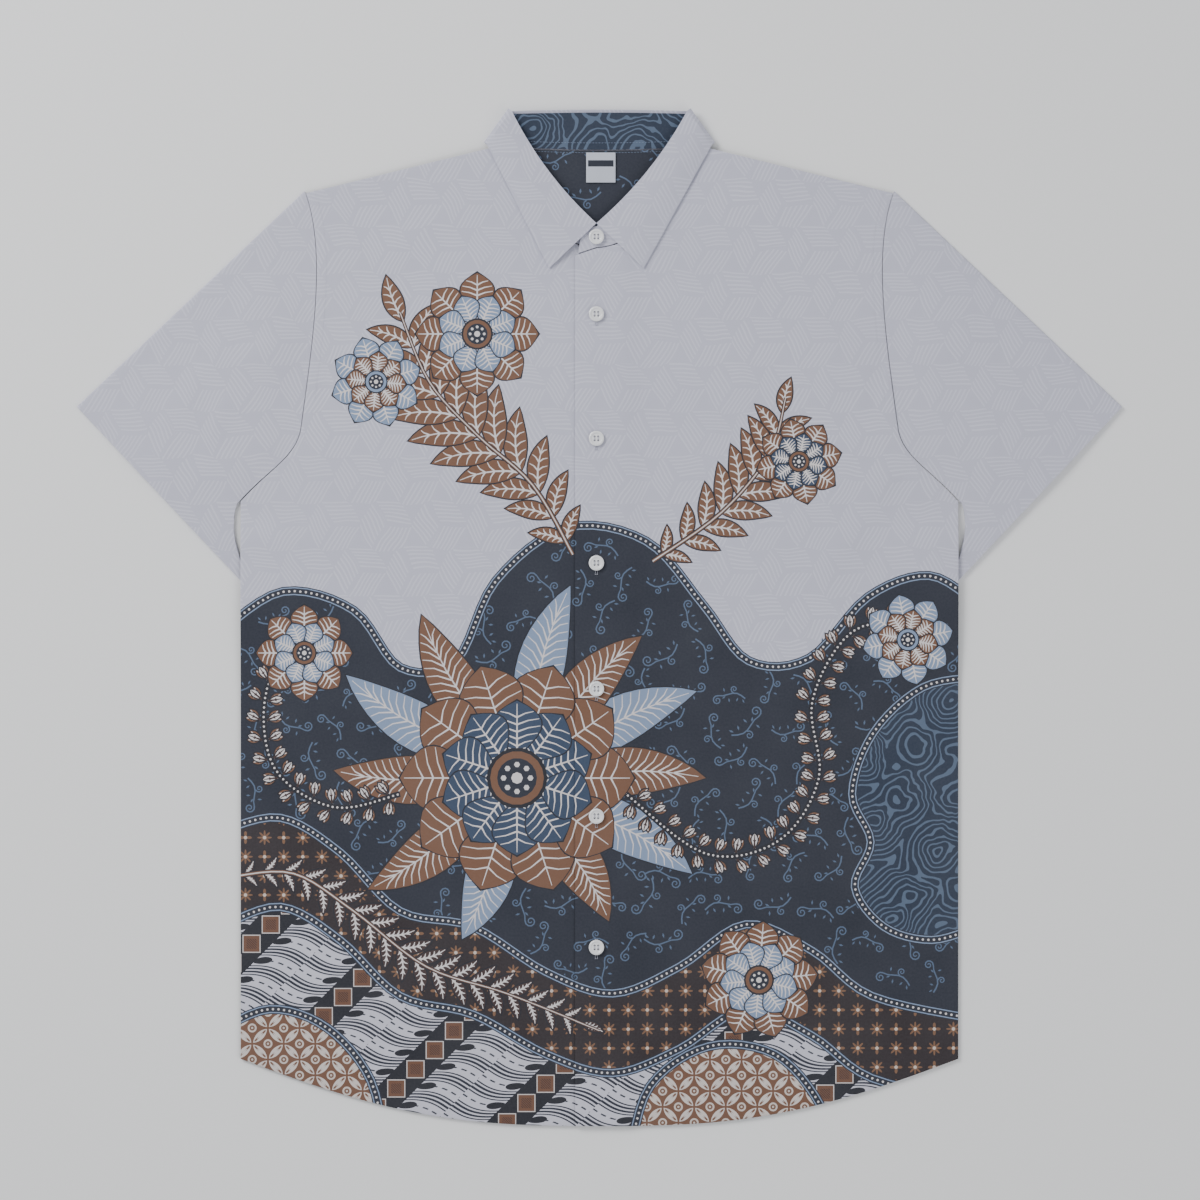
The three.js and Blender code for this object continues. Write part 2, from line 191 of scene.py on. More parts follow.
def new_object(name, mesh, material):
    made = bpy.data.objects.new(name, mesh)
    made.data.materials.append(material)
    bpy.context.collection.objects.link(made)
    return made


TABLE_SIZE = 6.0
TABLE_COLOUR = (0.93, 0.93, 0.93, 1.0)

table_paint = Recipe("white table")
tx, ty, _ = table_paint.place()
grain = table_paint.noise(table_paint.vector(tx, ty), 0.02)
table_shade = table_paint.mix(grain * 0.02, TABLE_COLOUR, (0.9, 0.9, 0.9, 1.0))
table_mesh = bpy.data.meshes.new("table")
half = TABLE_SIZE / 2
table_mesh.from_pydata(
    [(-half, -half, 0), (half, -half, 0), (half, half, 0), (-half, half, 0)], [], [(0, 1, 2, 3)]
)
table = new_object("table", table_mesh, table_paint.finish({"Base Color": table_shade, "Roughness": 0.9}))
table.location.z = cad_low.z - 0.0004

world = bpy.data.worlds.new("world")
world.use_nodes = True
world.node_tree.nodes["Background"].inputs["Color"].default_value = (0.95, 0.97, 1.0, 1.0)
world.node_tree.nodes["Background"].inputs["Strength"].default_value = 0.62
bpy.context.scene.world = world


def area_light(name, place, size, watts):
    data = bpy.data.lights.new(name, "AREA")
    data.size = size
    data.energy = watts
    light = bpy.data.objects.new(name, data)
    light.location = place
    light.rotation_euler = (-Vector(place)).to_track_quat("-Z", "Y").to_euler()
    bpy.context.collection.objects.link(light)


area_light("key", (-1.5, 1.3, 1.7), 1.1, 42)
area_light("fill", (1.6, -1.0, 2.2), 2.0, 16)

# Printed cotton.
# The cloth is a fine plain-weave cotton, 1 mm thick on the model. Its print is laid on in two ways: shapes
# drawn on a panel cut the mesh into faces of one dye each, and wide grounds of small repeats are worked out
# by the material.
CLOTH = 1.0
AIR = 0.7
HEM_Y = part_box("back")[0].y * 1000  # everything below counts y up from the hem's lowest point

DYES = {
    "cream": linear(232, 226, 226),
    "pale": linear(205, 205, 222),
    "brown": linear(122, 84, 60),
    "umber": linear(62, 42, 38),
    "navy": linear(30, 36, 50),
    "ink": linear(22, 24, 34),
    "blue": linear(86, 106, 134),
    "sky": linear(136, 156, 188),
    "steel": linear(52, 70, 96),
}
# Grounds of small repeats, numbered as the material tells them apart.
GROUNDS = {"hatch": 1, "contour": 2, "stars": 3, "kawung": 4, "parang": 5}


def hatch_ground(paint, x, y):
    """Pale strokes in threes of diamonds, each diamond hatched along its own side."""
    across = 40.0
    side = across / math.sqrt(3)
    sway = paint.noise(paint.vector(x, y), 0.03, 1.0)
    x = x + (sway - 0.5) * 9
    y = y + (sway - 0.5) * 7
    tall = across * math.sqrt(3)
    first_x = x - (x / across).round() * across
    first_y = y - (y / tall).round() * tall
    second_x = x - ((x / across).floor() + 0.5) * across
    second_y = y - ((y / tall).floor() + 0.5) * tall
    nearer = (second_x * second_x + second_y * second_y) < (first_x * first_x + first_y * first_y)
    cell_x = first_x + (second_x - first_x) * nearer
    cell_y = first_y + (second_y - first_y) * nearer
    third = 2 * math.pi / 3
    turn = (cell_y.math("ARCTAN2", cell_y, cell_x) / third).floor() * -third
    local_x = cell_x * turn.cos() - cell_y * turn.sin()
    local_y = cell_x * turn.sin() + cell_y * turn.cos()
    up = local_y * (2 / (side * math.sqrt(3)))
    along = (local_x + local_y * (1 / math.sqrt(3))) * (1 / side)
    lines = abs((up * 7.0 + sway).fract() - 0.5) < 0.2
    ends = (abs(along - 0.5 + (up - 0.5) * (sway - 0.5)) < 0.43) * (abs(up - 0.5) < 0.46)
    fade = paint.noise(paint.vector(x, y), 0.011, 1.0) * 0.5 + 0.55
    return paint.mix(lines * ends * fade, DYES["pale"], linear(222, 222, 237))


def contour_ground(paint, x, y):
    """Blue wandering rings, like the height lines of a map."""
    wobble = paint.noise(paint.vector(x, y), 0.045, 2.0)
    hills = paint.node(
        "ShaderNodeTexVoronoi",
        {"feature": "SMOOTH_F1"},
        {"Vector": paint.vector(x + wobble * 16, y + wobble * 13), "Scale": 0.021, "Smoothness": 0.25},
    )
    rings = abs((hills * 13.5 + wobble * 1.6).fract() - 0.5) < 0.15
    return paint.mix(rings, linear(33, 47, 68), linear(86, 104, 128))


def stars_ground(paint, x, y):
    """Small eight-petalled stars and crosses in turn on a near-black brown."""
    pitch = 14.4
    column = (x / pitch).floor()
    row = (y / pitch).floor()
    cell_x = (x / pitch).fract() - 0.5
    cell_y = (y / pitch).fract() - 0.5
    odd = ((column + row) * 0.5).fract() > 0.25
    reach = (cell_x * cell_x + cell_y * cell_y).math("SQRT", cell_x * cell_x + cell_y * cell_y)
    angle = cell_y.math("ARCTAN2", cell_y, cell_x)
    star = reach < (angle * 8).cos() * 0.12 + 0.26
    gap = reach < 0.09
    cross = (reach < (angle * 4).cos() * 0.13 + 0.2) * (reach > 0.05)
    shape = star + (cross - star) * odd
    colour = paint.mix(shape, linear(40, 30, 32), linear(128, 92, 66))
    return paint.mix(gap, colour, linear(214, 200, 190))


def kawung_ground(paint, x, y):
    """Rings that overlap, so that each pair makes a pale petal round a four-sided ground."""
    pitch = 16.8 * math.sqrt(2)
    turned = paint.vector((x + y) / pitch, (y - x) / pitch)
    rings = {"Vector": turned, "Scale": 1.0, "Randomness": 0.0}
    near = paint.node("ShaderNodeTexVoronoi", {"feature": "F1"}, rings)
    far = paint.node("ShaderNodeTexVoronoi", {"feature": "F2"}, rings)
    colour = paint.mix(far < 0.665, linear(118, 80, 57), linear(222, 212, 206))
    vein = (far - near < 0.07) * (far < 0.62) * (far > 0.535)
    colour = paint.mix(vein, colour, linear(118, 80, 57))
    tile = (near < 0.2) * (near > 0.12)
    colour = paint.mix(tile.either(near < 0.05), colour, linear(216, 204, 196))
    return colour


def parang_ground(paint, x, y):
    """Slanting rows of knots with S-shaped blades standing between them."""
    row_gap = 77.0
    pitch = 20.5
    along = (x + y) / math.sqrt(2)
    across = ((y - x) / (math.sqrt(2) * row_gap) + 0.35).fract() * row_gap - row_gap / 2
    beat = (along / pitch).fract() * pitch - pitch / 2
    blade = ((along + across * 0.75 + (across * (2 * math.pi / row_gap)).sin() * 7) / pitch).fract() - 0.5
    outline = (abs(abs(blade) - 0.42) < 0.045).either(abs(abs(blade) - 0.28) < 0.028)
    spine = (abs(blade) < 0.03) * ((across * 0.9).sin() > -0.2)
    body = paint.mix(outline.either(spine), linear(214, 213, 226), DYES["navy"])
    eye = (blade * blade * 9 + (abs(abs(across) - 15) / 9) * (abs(abs(across) - 15) / 9)) < 0.3
    body = paint.mix(eye, body, DYES["ink"])
    band = abs(across) < 11.0
    colour = paint.mix(band, body, DYES["ink"])
    knot = abs(beat) + abs(across) < 9.6
    colour = paint.mix(knot, colour, linear(224, 216, 214))
    colour = paint.mix(abs(beat) + abs(across) < 8.6, colour, linear(112, 74, 52))
    heart = (abs(beat) + abs(across) < 5.4) * (abs((beat * 0.8).fract() - 0.5) < 0.2)
    return paint.mix(heart, colour, linear(60, 38, 32))


GROUND_MAKERS = {
    "hatch": hatch_ground,
    "contour": contour_ground,
    "stars": stars_ground,
    "kawung": kawung_ground,
    "parang": parang_ground,
}


def printed_cotton(name, grounds):
    """Cotton that takes its flat dyes from the mesh and works out the named grounds itself."""
    paint = Recipe(name)
    x, y, z = paint.place()
    colour = paint.node("ShaderNodeAttribute", {"attribute_name": "dye"}, output="Color")
    number = paint.node("ShaderNodeAttribute", {"attribute_name": "ground"}, output="Fac")
    for ground in grounds:
        chosen = abs(number - GROUNDS[ground]) < 0.5
        colour = paint.mix(chosen, colour, GROUND_MAKERS[ground](paint, x, y))
    threads = 2.4  # a millimetre, in warp and weft
    warp = (x * (2 * math.pi * threads)).sin()
    weft = (y * (2 * math.pi * threads)).sin()
    weave = warp * weft
    slub = paint.noise(paint.vector(x, y), 0.6, 3.0)
    cloud = paint.noise(paint.vector(x, y), 0.02, 2.0)
    worn = paint.mix(slub * 0.12 + cloud * 0.1, colour, paint.mix(0.5, colour, (0.5, 0.5, 0.55, 1.0)))
    return paint.finish(
        {
            "Base Color": worn,
            "Roughness": 0.78 + slub * 0.1,
            "Sheen Weight": 0.12,
            "Sheen Roughness": 0.45,
            "Specular IOR Level": 0.3,
        },
        bump=weave * 0.5 + slub * 0.8,
        distance=0.00009,
    )


def bezier(points, steps):
    """Points along a curve with four control points."""
    a, b, c, d = [np.array(p, float) for p in points]
    t = np.linspace(0, 1, steps + 1)[:, None]
    curve = a * (1 - t) ** 3 + 3 * b * t * (1 - t) ** 2 + 3 * c * t * t * (1 - t) + d * t**3
    return [tuple(p) for p in curve]


def straight(a, b, gap=4.0):
    steps = max(1, round(math.dist(a, b) / gap))
    return [(a[0] + (b[0] - a[0]) * i / steps, a[1] + (b[1] - a[1]) * i / steps) for i in range(steps + 1)]


def joined(*runs):
    """One outline from runs that each start where the one before ends."""
    return [p for run in runs for p in run[:-1]]


def smooth(points, steps=6, closed=False):
    """A flowing line through the points."""
    count = len(points)
    get = (lambda i: points[i % count]) if closed else (lambda i: points[min(max(i, 0), count - 1)])
    line = []
    for i in range(count if closed else count - 1):
        before, start, end, after = get(i - 1), get(i), get(i + 1), get(i + 2)
        for s in range(steps):
            t = s / steps
            line.append(tuple(
                0.5 * (
                    2 * q + (r - p) * t + (2 * p - 5 * q + 4 * r - s2) * t * t
                    + (3 * q - p - 3 * r + s2) * t**3
                )
                for p, q, r, s2 in zip(before, start, end, after)
            ))
    return line if closed else line + [tuple(points[-1])]


def point_on(centre, radius, angle):
    return centre[0] + radius * math.cos(angle), centre[1] + radius * math.sin(angle)


def signed_area(loop):
    return sum(a[0] * b[1] - b[0] * a[1] for a, b in zip(loop, loop[1:] + loop[:1])) / 2


def step(values, low, high):
    """0 below low, 1 above high, and an easy slope between."""
    t = np.clip((values - low) / (high - low), 0, 1)
    return t * t * (3 - 2 * t)


def nearest_edge(places, outline):
    """For each place its distance to the outline, and the inward direction there."""
    start = np.array(outline)
    way = np.roll(start, -1, axis=0) - start
    length = np.linalg.norm(way, axis=1)
    inward = np.stack([-way[:, 1], way[:, 0]], axis=1) / length[:, None]
    best = np.full(len(places), 1e9)
    direction = np.zeros((len(places), 2))
    for p, w, n, size in zip(start, way, inward, length):
        t = np.clip((places - p) @ w / size**2, 0, 1)
        gap = np.linalg.norm(places - p - t[:, None] * w, axis=1)
        closer = gap < best
        best[closer] = gap[closer]
        direction[closer] = n
    return best, direction


def write_dyes(mesh, colours, numbers):
    dye = mesh.attributes.new("dye", "FLOAT_COLOR", "FACE")
    dye.data.foreach_set("color", np.array(colours, dtype=np.float32).ravel())
    ground = mesh.attributes.new("ground", "FLOAT", "FACE")
    ground.data.foreach_set("value", np.array(numbers, dtype=np.float32))


def dye_of(name):
    """The flat colour and the ground number that a dye's name stands for."""
    return DYES.get(name, DYES["pale"]), GROUNDS.get(name, 0)


def cloth_piece(name, material, outline, top, base, drawing=(), under=None, spacing=7.0, roll=0.35, holes=()):
    """A closed shell of cloth, lying at the height top(x, y).

    The outline is cut into triangles together with all that is drawn on it. A face takes the dye that was laid
    on it last. The edge rolls down a little all round."""
    points = []
    loops = []

    def lay(loop):
        loop = loop if signed_area(loop) > 0 else loop[::-1]
        loops.append(list(range(len(points), len(points) + len(loop))))
        points.extend(Vector(p) for p in loop)

    outline = outline if signed_area(outline) > 0 else outline[::-1]
    lay(outline)
    for hole in holes:
        lay(hole)
    low = np.min(outline, axis=0)
    high = np.max(outline, axis=0)
    dyes = [base] + [None] * len(holes)
    for loop, dye in drawing:
        flat = np.array(loop)
        if (flat.max(axis=0) > low).all() and (flat.min(axis=0) < high).all():
            lay(loop)
            dyes.append(dye)
    for x in np.arange(low[0] + spacing / 2, high[0], spacing):
        for y in np.arange(low[1] + spacing / 2, high[1], spacing):
            points.append(Vector((x, y)))
    for inset in (0.5, 1.4, 3.2):
        if inset < spacing:
            ring = np.array(outline)
            way = np.roll(ring, -1, axis=0) - np.roll(ring, 1, axis=0)
            side = np.stack([-way[:, 1], way[:, 0]], axis=1) / np.linalg.norm(way, axis=1)[:, None]
            points.extend(Vector(p) for p in ring + side * inset)
    found, _, faces, _, _, origins = delaunay_2d_cdt(points, [], loops, 1, 1e-3)
    kept = [
        (face, max(k for k in origin))
        for face, origin in zip(faces, origins)
        if 0 in origin and not any(1 <= k <= len(holes) for k in origin)
    ]
    used = sorted({v for face, _ in kept for v in face})
    number = {v: i for i, v in enumerate(used)}
    count = len(used)
    places = np.array([found[v][:] for v in used])
    gap, inward = nearest_edge(places, outline)
    fall = roll * np.exp(-gap / 0.9)
    x, y = places[:, 0], places[:, 1]
    height = top(x, y) - fall
    nudge = 0.5
    slope_x = (top(x + nudge, y) - top(x - nudge, y)) / (2 * nudge) + fall / 0.9 * inward[:, 0]
    slope_y = (top(x, y + nudge) - top(x, y - nudge)) / (2 * nudge) + fall / 0.9 * inward[:, 1]
    normals = np.stack([-slope_x, -slope_y, np.ones(count)], axis=1)
    normals /= np.linalg.norm(normals, axis=1)[:, None]
    upper = np.stack([x, y + HEM_Y, height], axis=1) / 1000
    base_height = height - CLOTH + fall * 1.4 if under is None else under(x, y)
    lower = np.stack([x, y + HEM_Y, base_height], axis=1) / 1000
    faces = []
    colours = []
    numbers = []
    edges = {}
    for face, dye in kept:
        a, b, c = [number[v] for v in face]
        colour, ground = dye_of(dyes[dye])
        for start, end in ((a, b), (b, c), (c, a)):
            if (end, start) in edges:
                del edges[(end, start)]
            else:
                edges[(start, end)] = (colour, ground)
        faces += [(a, b, c), (c + count, b + count, a + count)]
        colours += [colour, colour]
        numbers += [ground, ground]
    for (start, end), (colour, ground) in edges.items():
        faces.append((end, start, start + count, end + count))
        colours.append(colour)
        numbers.append(ground)
    mesh = bpy.data.meshes.new(name)
    mesh.from_pydata(np.concatenate([upper, lower]).tolist(), [], faces)
    write_dyes(mesh, colours, numbers)
    mesh.shade_smooth()
    mesh.normals_split_custom_set_from_vertices(np.concatenate([normals, -normals]).tolist())
    return new_object(name, mesh, material)


# What is drawn on the shirt.
# Hand-drawn wax work in several dyes: every shape is edged in a dark line, leaves and petals are combed with
# pale strokes, and bands of dots follow the borders between the grounds.
class Drawing(list):
    """Closed shapes in the order in which they are laid on, each with its dye."""

    def fill(self, loop, dye):
        self.append((loop, dye))

    def stroke(self, path, width, dye, taper=0.0):
        """A line of the given width. taper is how much of the width is gone at its end."""
        line = np.array(path, float)
        way = np.gradient(line, axis=0)
        side = np.stack([-way[:, 1], way[:, 0]], axis=1) / (np.linalg.norm(way, axis=1)[:, None] + 1e-9)
        share = np.linspace(0, 1, len(line))[:, None]
        half_width = width / 2 * (1 - taper * share)
        loop = np.concatenate([line + side * half_width, (line - side * half_width)[::-1]])
        self.fill([tuple(p) for p in loop], dye)

    def dot(self, centre, radius, dye, sides=8):
        self.fill([
            point_on(centre, radius, 2 * math.pi * k / sides)
            for k in range(sides)
        ], dye)

    def dots(self, path, pitch, radius, dye):
        for centre in walk(path, pitch):
            self.dot(centre, radius, dye, sides=6)

    def border(self, path, width=7.5):
        """A dark band with a pale line down each side and a row of dots between them."""
        self.stroke(path, width, "navy")
        self.stroke(path, width - 1.6, "sky")
        self.stroke(path, width - 3.2, "navy")
        self.dots(path, 4.2, 0.95, "cream")

    def leaf(self, base, tip, breadth, bow, body, vein, combs=9, full=0.45):
        """A leaf or petal from base to tip. bow curves its rib, full is how far along it is broadest."""
        base, tip = np.array(base, float), np.array(tip, float)
        way = tip - base
        side = np.array([-way[1], way[0]])

        def rib(t):
            return base + way * t + side * bow * 4 * t * (1 - t) * 0.5

        def edge(t, sign, grow):
            ease = t ** (math.log(0.5) / math.log(full))
            here = rib(t)
            ahead = rib(t + 0.02) - rib(t - 0.02)
            normal = np.array([-ahead[1], ahead[0]]) / np.linalg.norm(ahead)
            return here + normal * sign * (breadth / 2 * math.sin(math.pi * ease) ** 0.85 + grow)

        def outline(grow):
            steps = [k / 12 for k in range(1, 12)]
            reach = way / np.linalg.norm(way) * grow * 1.5
            loop = [base - reach, *[edge(t, -1, grow) for t in steps], tip + reach]
            loop += [edge(t, 1, grow) for t in reversed(steps)]
            return [tuple(p) for p in loop]

        self.fill(outline(1.0), "ink")
        self.fill(outline(0.0), body)
        for k in range(combs):
            t = 0.1 + 0.74 * k / combs
            for sign in (-1, 1):
                start = rib(t)
                end = start + (edge(min(t + 0.1, 0.97), sign, -0.9) - start)
                middle = (start + end) / 2 + way * 0.02
                self.stroke([tuple(start), tuple(middle), tuple(end)], 1.3, vein, taper=0.6)
        self.stroke([tuple(rib(t)) for t in (0, 0.2, 0.4, 0.6, 0.8, 0.95)], 1.7, vein, taper=0.7)

    def flower(self, centre, radius, petals, body, vein, heart, start=0.0):
        """A round flower of two rings of petals and a dotted heart."""
        for ring, (inner, outer, broad, dye) in enumerate(((0.3, 1.0, 0.55, body), (0.16, 0.66, 0.42, heart))):
            for k in range(petals):
                angle = start + 2 * math.pi * (k + ring / 2) / petals
                way = np.array([math.cos(angle), math.sin(angle)]) * radius
                base = np.array(centre) + way * inner
                tip = np.array(centre) + way * outer
                self.leaf(base, tip, radius * broad, 0.0, dye, vein, combs=6, full=0.6)
        self.dot(centre, radius * 0.26, "ink", 18)
        self.dot(centre, radius * 0.23, body, 18)
        self.dot(centre, radius * 0.17, "navy", 18)
        for k in range(8):
            angle = 2 * math.pi * k / 8
            spot = (centre[0] + radius * 0.115 * math.cos(angle), centre[1] + radius * 0.115 * math.sin(angle))
            self.dot(spot, radius * 0.025, "cream", 6)
        self.dot(centre, radius * 0.05, "cream", 8)

    def curl(self, centre, radius, turns, start, hand, width, dye):
        path = [
            (
                centre[0] + radius * (1 - 0.86 * t) * math.cos(start + hand * 2 * math.pi * turns * t),
                centre[1] + radius * (1 - 0.86 * t) * math.sin(start + hand * 2 * math.pi * turns * t),
            )
            for t in (k / (10 * turns) for k in range(int(10 * turns) + 1))
        ]
        self.stroke(path, width, dye, taper=0.3)

    def sprig(self, centre, size, angle, hand, dye):
        """A tendril that ends in a curl, with a smaller curl and leaflets on its stem."""
        cos, sin = math.cos(angle), math.sin(angle)

        def at(x, y):
            return (centre[0] + size * (x * cos - hand * y * sin), centre[1] + size * (x * sin + hand * y * cos))

        stem = [at(x, 0.16 * math.sin(x * 3.4)) for x in (-1, -0.75, -0.5, -0.25, 0, 0.25, 0.5)]
        self.stroke(stem, 1.15, dye, taper=0.2)
        top = at(0.5, 0.16 * math.sin(1.7) + 0.26)
        self.curl(top, size * 0.26, 1.5, angle - hand * math.pi / 2, hand, 1.1, dye)
        low = at(-0.3, -0.36)
        self.curl(low, size * 0.2, 1.4, angle + hand * math.pi / 2, -hand, 1.0, dye)
        leaflets = ((-0.85, 0.1, 2.2), (-0.6, 0.06, 1.3), (-0.1, 0.18, 1.9), (0.1, 0.1, 0.9), (0.2, -0.1, -1.2))
        for x, y, way in leaflets:
            spot = at(x, y)
            turn = angle + hand * way
            self.leaflet(spot, turn, size * 0.24, dye)

    def leaflet(self, base, turn, length, dye):
        way = (math.cos(turn) * length, math.sin(turn) * length)
        side = (-way[1] * 0.2, way[0] * 0.2)
        self.fill([
            base,
            (base[0] + way[0] * 0.5 - side[0], base[1] + way[1] * 0.5 - side[1]),
            (base[0] + way[0], base[1] + way[1]),
            (base[0] + way[0] * 0.5 + side[0], base[1] + way[1] * 0.5 + side[1]),
        ], dye)

    def scroll_work(self, inside, low, high, pitch, dye, seed):
        """Sprigs over all of a ground, in staggered rows, each turned its own way."""
        chance = random.Random(seed)
        for row, y in enumerate(np.arange(low[1], high[1], pitch * 0.86)):
            for x in np.arange(low[0] + (row % 2) * pitch / 2, high[0], pitch):
                centre = (x + chance.uniform(-4, 4), y + chance.uniform(-4, 4))
                angle = chance.uniform(0, 2 * math.pi)
                hand = chance.choice((-1, 1))
                if inside(*centre):
                    self.sprig(centre, pitch * chance.uniform(0.44, 0.54), angle, hand, dye)

    def branch(self, path, leaf_length, pitch, body, vein, stem="brown"):
        """A stem with leaves on both sides, longest in the middle, that lean towards its end."""
        spots = walk(path, pitch)
        for k, spot in enumerate(spots[:-1]):
            ahead = np.array(spots[k + 1]) - np.array(spot)
            angle = math.atan2(ahead[1], ahead[0])
            share = (k + 0.5) / len(spots)
            length = leaf_length * (0.55 + 0.6 * math.sin(math.pi * share))
            for sign in (-1, 1):
                turn = angle + sign * 0.85
                tip = (spot[0] + length * math.cos(turn), spot[1] + length * math.sin(turn))
                self.leaf(spot, tip, length * 0.36, -0.16 * sign, body, vein, combs=5)
        end = np.array(spots[-1])
        ahead = end - np.array(spots[-2])
        last_tip = end + ahead / np.linalg.norm(ahead) * leaf_length * 0.8
        self.leaf(end, last_tip, leaf_length * 0.32, 0.1, body, vein, 5)
        self.stroke(path, 4.2, "ink", taper=0.4)
        self.stroke(path, 2.6, stem, taper=0.4)
        self.stroke(path, 0.9, vein, taper=0.4)

    def garland(self, path, pitch, size):
        """A dotted stem with small double buds along it."""
        spots = walk(path, pitch)
        for k, spot in enumerate(spots[:-1]):
            ahead = np.array(spots[k + 1]) - np.array(spot)
            angle = math.atan2(ahead[1], ahead[0])
            for sign in (-1, 1):
                turn = angle + sign * 1.15
                root = np.array(spot) + size * 0.25 * np.array([math.cos(turn), math.sin(turn)])
                for lean, dye in ((-0.32, "brown"), (0.32, "brown"), (0.0, "cream")):
                    tip = root + size * np.array([math.cos(turn + lean), math.sin(turn + lean)])
                    self.leaf(root, tip, size * 0.4, 0.0, dye, "umber" if dye == "cream" else "cream", 2, 0.6)
        self.stroke(path, 4.4, "ink")
        self.dots(path, 3.6, 0.9, "cream")


def walk(path, pitch):
    """Points at an even pitch along a path."""
    line = np.array(path, float)
    run = np.concatenate([[0], np.cumsum(np.linalg.norm(np.diff(line, axis=0), axis=1))])
    marks = np.arange(pitch / 2, run[-1], pitch)
    return [(float(np.interp(m, run, line[:, 0])), float(np.interp(m, run, line[:, 1]))) for m in marks]


def below(path):
    """A test for points that lie lower than a path that runs from left to right."""
    line = np.array(path)
    return lambda x, y: y < np.interp(x, line[:, 0], line[:, 1])


def down_to(path, floor=-25.0):
    """The area between a path that runs from left to right and a level below the hem."""
    return [*path, (path[-1][0], floor), (path[0][0], floor)]


front_print = Drawing()

# the scroll garden: all below a waving line at the height of the waist
garden_line = smooth([
    (-285, 372), (-238, 402), (-185, 388), (-150, 345), (-108, 350), (-78, 410), (-25, 450),
    (35, 440), (78, 392), (112, 350), (158, 352), (202, 398), (248, 414), (285, 392),
])
front_print.fill(down_to(garden_line), "navy")
wave_top = smooth([
    (-285, 222), (-240, 232), (-195, 206), (-150, 162), (-95, 150), (-40, 116), (10, 100),
    (60, 120), (110, 152), (160, 132), (205, 98), (285, 80),
])
in_garden = below(garden_line)
under_wave = below(wave_top)
front_print.scroll_work(
    lambda x, y: in_garden(x, y + 14) and not under_wave(x, y - 8), (-275, 60), (275, 460), 31.0, "blue", 5,
)
front_print.border(garden_line)

# a hill of height lines on the right
hill = smooth([
    (285, 338), (243, 330), (206, 296), (190, 250), (204, 214),
    (192, 180), (214, 150), (250, 140), (285, 150),
])
front_print.fill([*hill, (285, 200)], "contour")
front_print.border(hill)

# a waving band of stars, with slanting rows of knots below it and two mounds of overlapping rings
wave_low = smooth([
    (-285, 150), (-240, 165), (-195, 140), (-150, 98), (-95, 84), (-40, 54), (10, 40),
    (60, 58), (110, 88), (160, 68), (205, 36), (285, 18),
])
front_print.fill(down_to(wave_top), "stars")
front_print.fill(down_to(wave_low), "parang")
front_print.border(wave_top)
front_print.border(wave_low)
left_mound = smooth([(-290, 70), (-248, 88), (-205, 74), (-172, 34), (-160, -25)])
right_mound = smooth([(22, -25), (38, 30), (82, 60), (132, 54), (166, 16), (176, -25)])
for mound in (left_mound, right_mound):
    front_print.fill(down_to(mound), "kawung")
    front_print.border(mound)
front_print.branch(
    smooth([(-275, 188), (-230, 190), (-185, 162), (-130, 120), (-70, 100), (0, 72)]),
    22, 15, "umber", "cream",
)

# flowering branches that climb from the garden over the chest
front_print.branch(
    smooth([(-20, 430), (-50, 482), (-92, 520), (-128, 560), (-150, 612)]),
    46, 21, "brown", "cream",
)
front_print.branch(smooth([(40, 425), (92, 462), (128, 506), (140, 548)]), 34, 18, "brown", "cream")
front_print.flower((-92, 596), 46, 8, "brown", "cream", "sky")
front_print.flower((-168, 560), 34, 8, "sky", "cream", "brown", 0.3)
front_print.flower((150, 500), 32, 8, "brown", "cream", "steel", 0.2)

# the great flower of the garden, with blue and brown leaves round it and a garland to each side
heart_of_garden = (-62, 262)
for angle, reach, dye in (
    (0.35, 150, "sky"), (0.75, 142, "brown"), (1.2, 150, "sky"), (2.0, 142, "brown"), (2.5, 150, "sky"),
    (3.0, 138, "brown"), (-0.1, 142, "brown"), (-0.6, 150, "sky"), (-1.1, 128, "brown"), (-2.0, 128, "sky"),
    (-2.6, 140, "brown"),
):
    base = np.array(heart_of_garden) + 30 * np.array([math.cos(angle), math.sin(angle)])
    tip = np.array(heart_of_garden) + reach * np.array([math.cos(angle + 0.1), math.sin(angle + 0.1)])
    front_print.leaf(base, tip, 36, 0.12, dye, "cream", combs=14)
front_print.flower(heart_of_garden, 88, 10, "brown", "cream", "steel")
front_print.garland(
    smooth([(20, 250), (80, 205), (135, 215), (165, 262), (160, 320), (190, 372), (238, 380)]),
    15, 11,
)
front_print.garland(smooth([(-150, 250), (-200, 240), (-245, 270), (-250, 330), (-215, 372)]), 15, 11)
front_print.flower((232, 366), 34, 8, "sky", "cream", "brown", 0.2)
front_print.flower((-222, 356), 36, 8, "brown", "cream", "sky")
front_print.flower((120, 110), 44, 9, "brown", "cream", "sky", 0.1)

cotton = printed_cotton("printed cotton", ["hatch", "contour", "stars", "kawung", "parang"])


# Fronts.
# Two panels of printed cotton, lying on the back. The wearer's left one laps over the right. They are sewn to
# the back at the side and shoulder seams, and to the sleeves and the collar stand.
HALF_CHEST = 270.0
HEM_RISE = 50.5
UNDERARM_Y = 470.0
SHOULDER = (221.0, 702.0)
NECK = (77.6, 737.0)
NOTCH = (224.0, 528.0)
BUTTON_LINE_X = -2.3
LAP = 16.0
LAP_TOP_Y = 655.0
FRONT_NECK_Y = 660.5
ARMHOLE_LOW = [(HALF_CHEST, UNDERARM_Y), (247, 496), (226, 504), NOTCH]
ARMHOLE_HIGH = [NOTCH, (214, 600), (206, 660), SHOULDER]


def hem_y(x):
    out = np.abs(x) / HALF_CHEST
    return HEM_RISE * out**3 * (2 - out)


def hem_run(start, end):
    return [(x, float(hem_y(x))) for x in np.linspace(start, end, round(abs(end - start) / 5) + 1)]


def mirrored(points, side):
    return [(side * x, y) for x, y in points]


